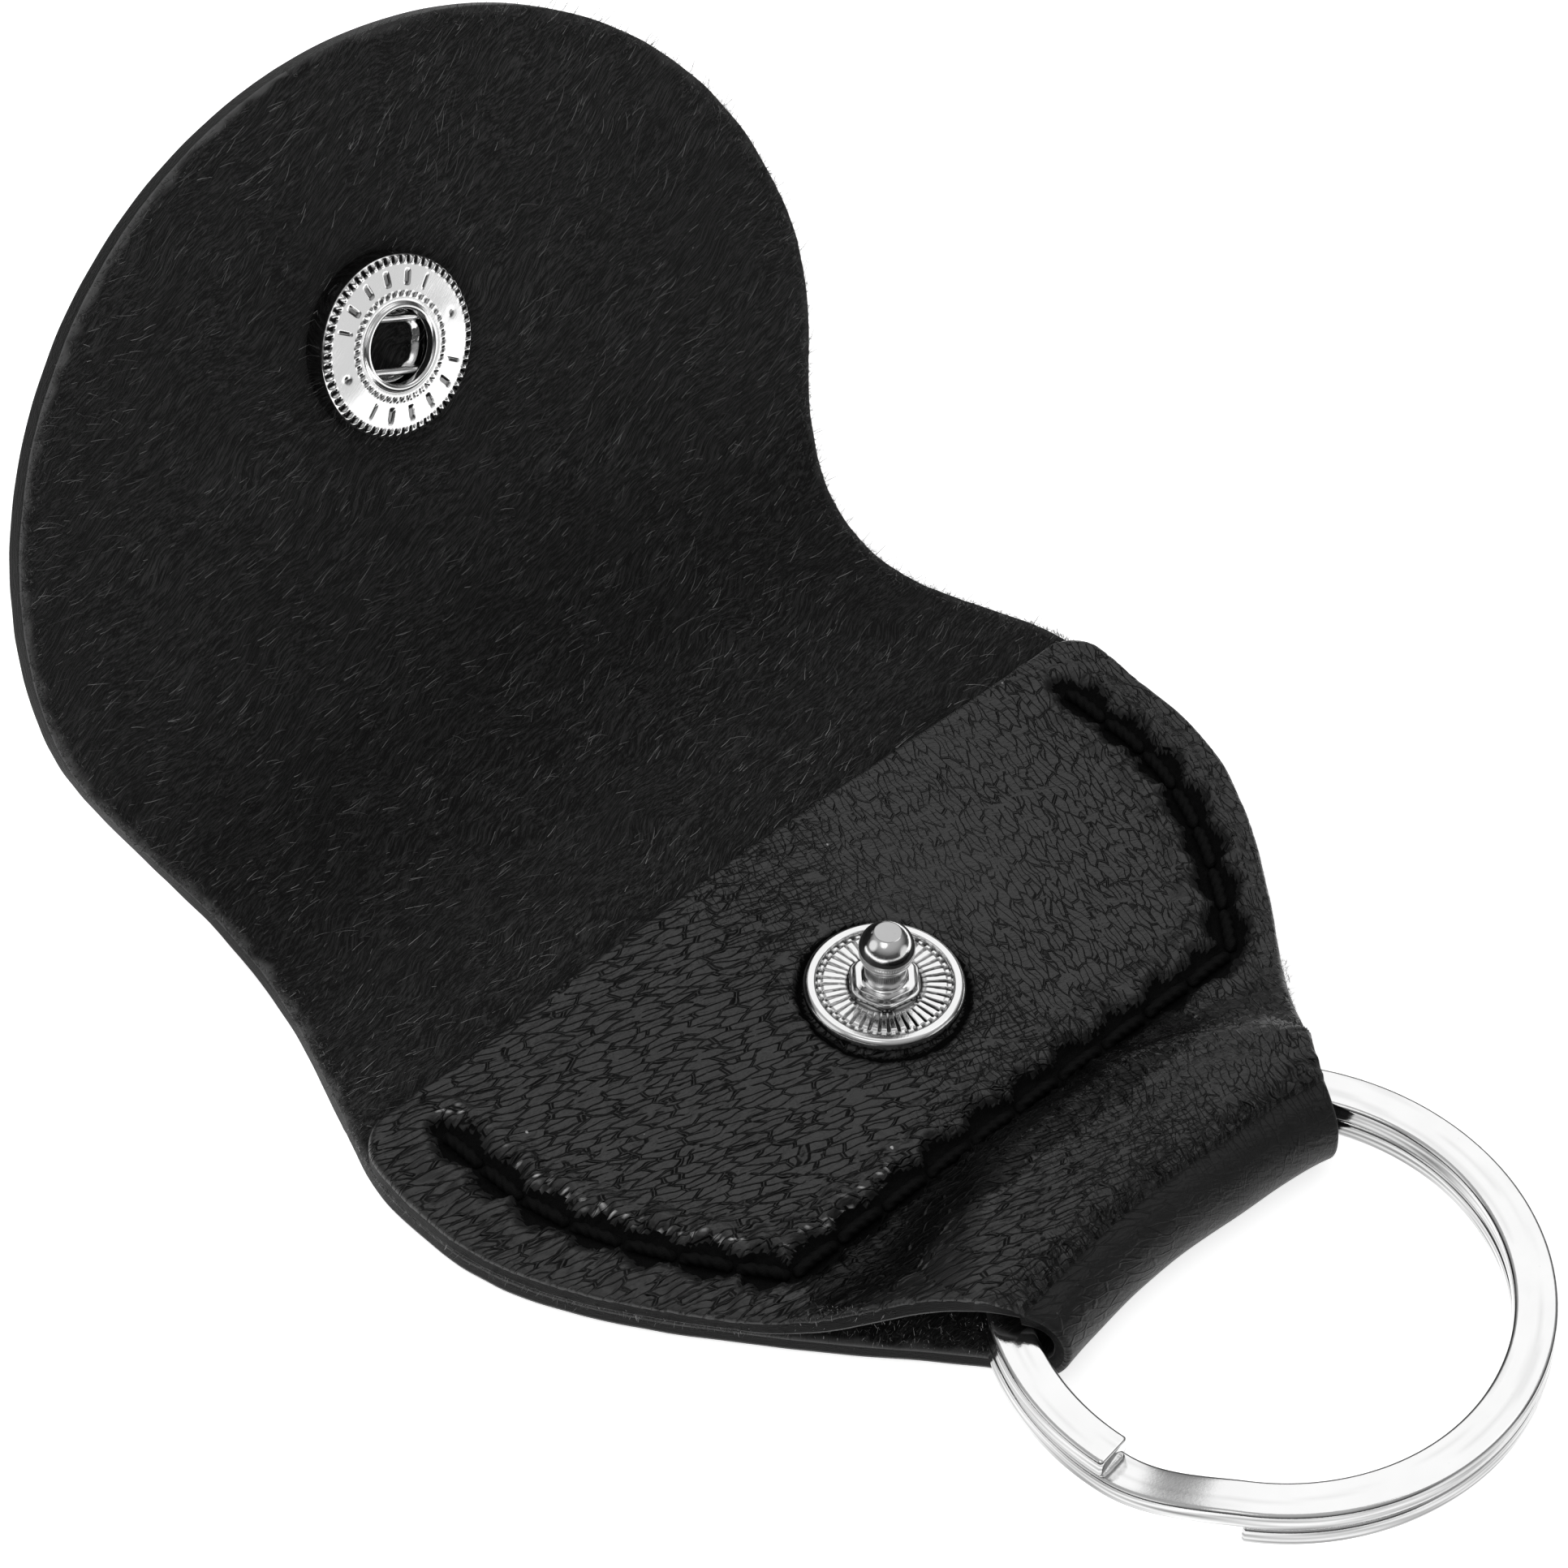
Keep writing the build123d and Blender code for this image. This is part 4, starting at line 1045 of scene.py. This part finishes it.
# ---- the eyelet keeps its CAD shape ----
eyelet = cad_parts["stud_eyelet"]
eyelet_look = metal_look("eyelet_tin", 0.62, 0.2, 0.2, (1.0, 0.1, 0.1), 0.4)
nodes = Nodes(eyelet_look.node_tree)
local = nodes.add("TexCoord").outputs["Object"]
local = nodes.add("VectorMath", {0: local, "Scale": 1 / MM}, operation="SCALE").outputs[0]
for node in list(nodes.tree.nodes):
    if node.type == "ATTRIBUTE" and node.attribute_name == "hide":
        for link in list(node.outputs["Vector"].links):
            nodes.set(link.to_socket, local)
eyelet.data.materials.clear()
eyelet.data.materials.append(eyelet_look)

# ---- floor, lights and camera ----
floor_look = Look("pale_floor", Roughness=0.8, Specular_IOR_Level=0.1, Base_Color=grey(0.93),
                  Emission_Color=grey(1), Emission_Strength=0.68)
FLOOR_HALF, FLOOR_LEVEL = 4000, -0.02
corners = [(x * FLOOR_HALF, y * FLOOR_HALF, FLOOR_LEVEL) for x, y in ((-1, -1), (1, -1), (1, 1), (-1, 1))]
floor = make("floor", corners, [(0, 1, 2, 3)], [floor_look.material])

world = bpy.data.worlds.new("studio")
scene.world = world
world.use_nodes = True
sky = Nodes(world.node_tree)
direction = sky.add("TexCoord").outputs["Generated"]
ramp = sky.add("ValToRGB", {0: sky.add("SeparateXYZ", {0: direction}).outputs["Z"]})
ramp.color_ramp.elements[0].position, ramp.color_ramp.elements[0].color = 0.0, grey(0.85)
ramp.color_ramp.elements[1].position, ramp.color_ramp.elements[1].color = 1.0, grey(0.50)
for position, value in ((0.02, 0.05), (0.30, 0.07), (0.45, 0.22), (0.7, 0.42)):
    ramp.color_ramp.elements.new(position).color = grey(value)


def softbox(under, aim, outer, inner, value):
    """A bright round patch of the sky, from the cosine of its faint rim to that of its full middle."""
    dot = sky.add("VectorMath", {0: direction, 1: Vector(aim).normalized()}, operation="DOT_PRODUCT")
    return sky.blend(sky.ramp(dot.outputs["Value"], outer, inner), under, grey(value))


light = ramp.outputs[0]
for aim, outer, inner, value in (
        ((0.50, 0.36, 0.79), 0.91, 0.965, 1.14), ((-0.45, -0.15, 0.88), 0.955, 0.98, 1.3),
        ((-0.75, 0.45, 0.48), 0.93, 0.965, 0.9), ((0.50, -0.17, 0.85), 0.96, 0.985, 1.3),
        ((0.48, -0.87, 0.05), 0.90, 0.97, 0.8)):
    light = softbox(light, aim, outer, inner, value)
background = world.node_tree.nodes["Background"]
sky.set(background.inputs["Color"], light)
sky.set(background.inputs["Strength"], 1.0)


def area_light(name, location, aim, size, power):
    """A square softbox, in metres and watts."""
    data = bpy.data.lights.new(name, "AREA")
    data.size, data.energy = size, power
    lamp = bpy.data.objects.new(name, data)
    lamp.location = location
    lamp.visible_glossy = False
    lamp.rotation_euler = (Vector(aim) - Vector(location)).to_track_quat("-Z", "Y").to_euler()
    scene.collection.objects.link(lamp)


area_light("key", (-0.25, 0.55, 0.75), (0, 0, 0.01), 0.45, 3.0)
area_light("fill", (-0.6, -0.5, 0.5), (0, 0.01, 0.01), 0.5, 1.2)

# the camera's turn about Z, its height above the horizon and its roll, and its place in its own axes
yaw, elevation, roll = radians(46.251), radians(48.281), radians(-2.79)
CLOSER = 0.88                  # how much the whole view is drawn in
place_in_view = Vector((-6.05, 14.934, 658.612)) * CLOSER * MM
upright = Matrix(((1, 0, 0), (0, sin(elevation), cos(elevation)), (0, -cos(elevation), sin(elevation))))
turn_view = Matrix.Rotation(roll, 3, "Z") @ upright @ Matrix.Rotation(yaw, 3, "Z")
camera_data = bpy.data.cameras.new("camera")
camera_data.sensor_width = 36.0
camera_data.lens = 245.0
camera_data.clip_start, camera_data.clip_end = 0.05, 20.0
camera = bpy.data.objects.new("camera", camera_data)
facing = turn_view.transposed()
camera.matrix_world = Matrix.Translation(facing @ place_in_view) @ facing.to_4x4()
scene.collection.objects.link(camera)
scene.camera = camera
scene.view_settings.view_transform = "Standard"
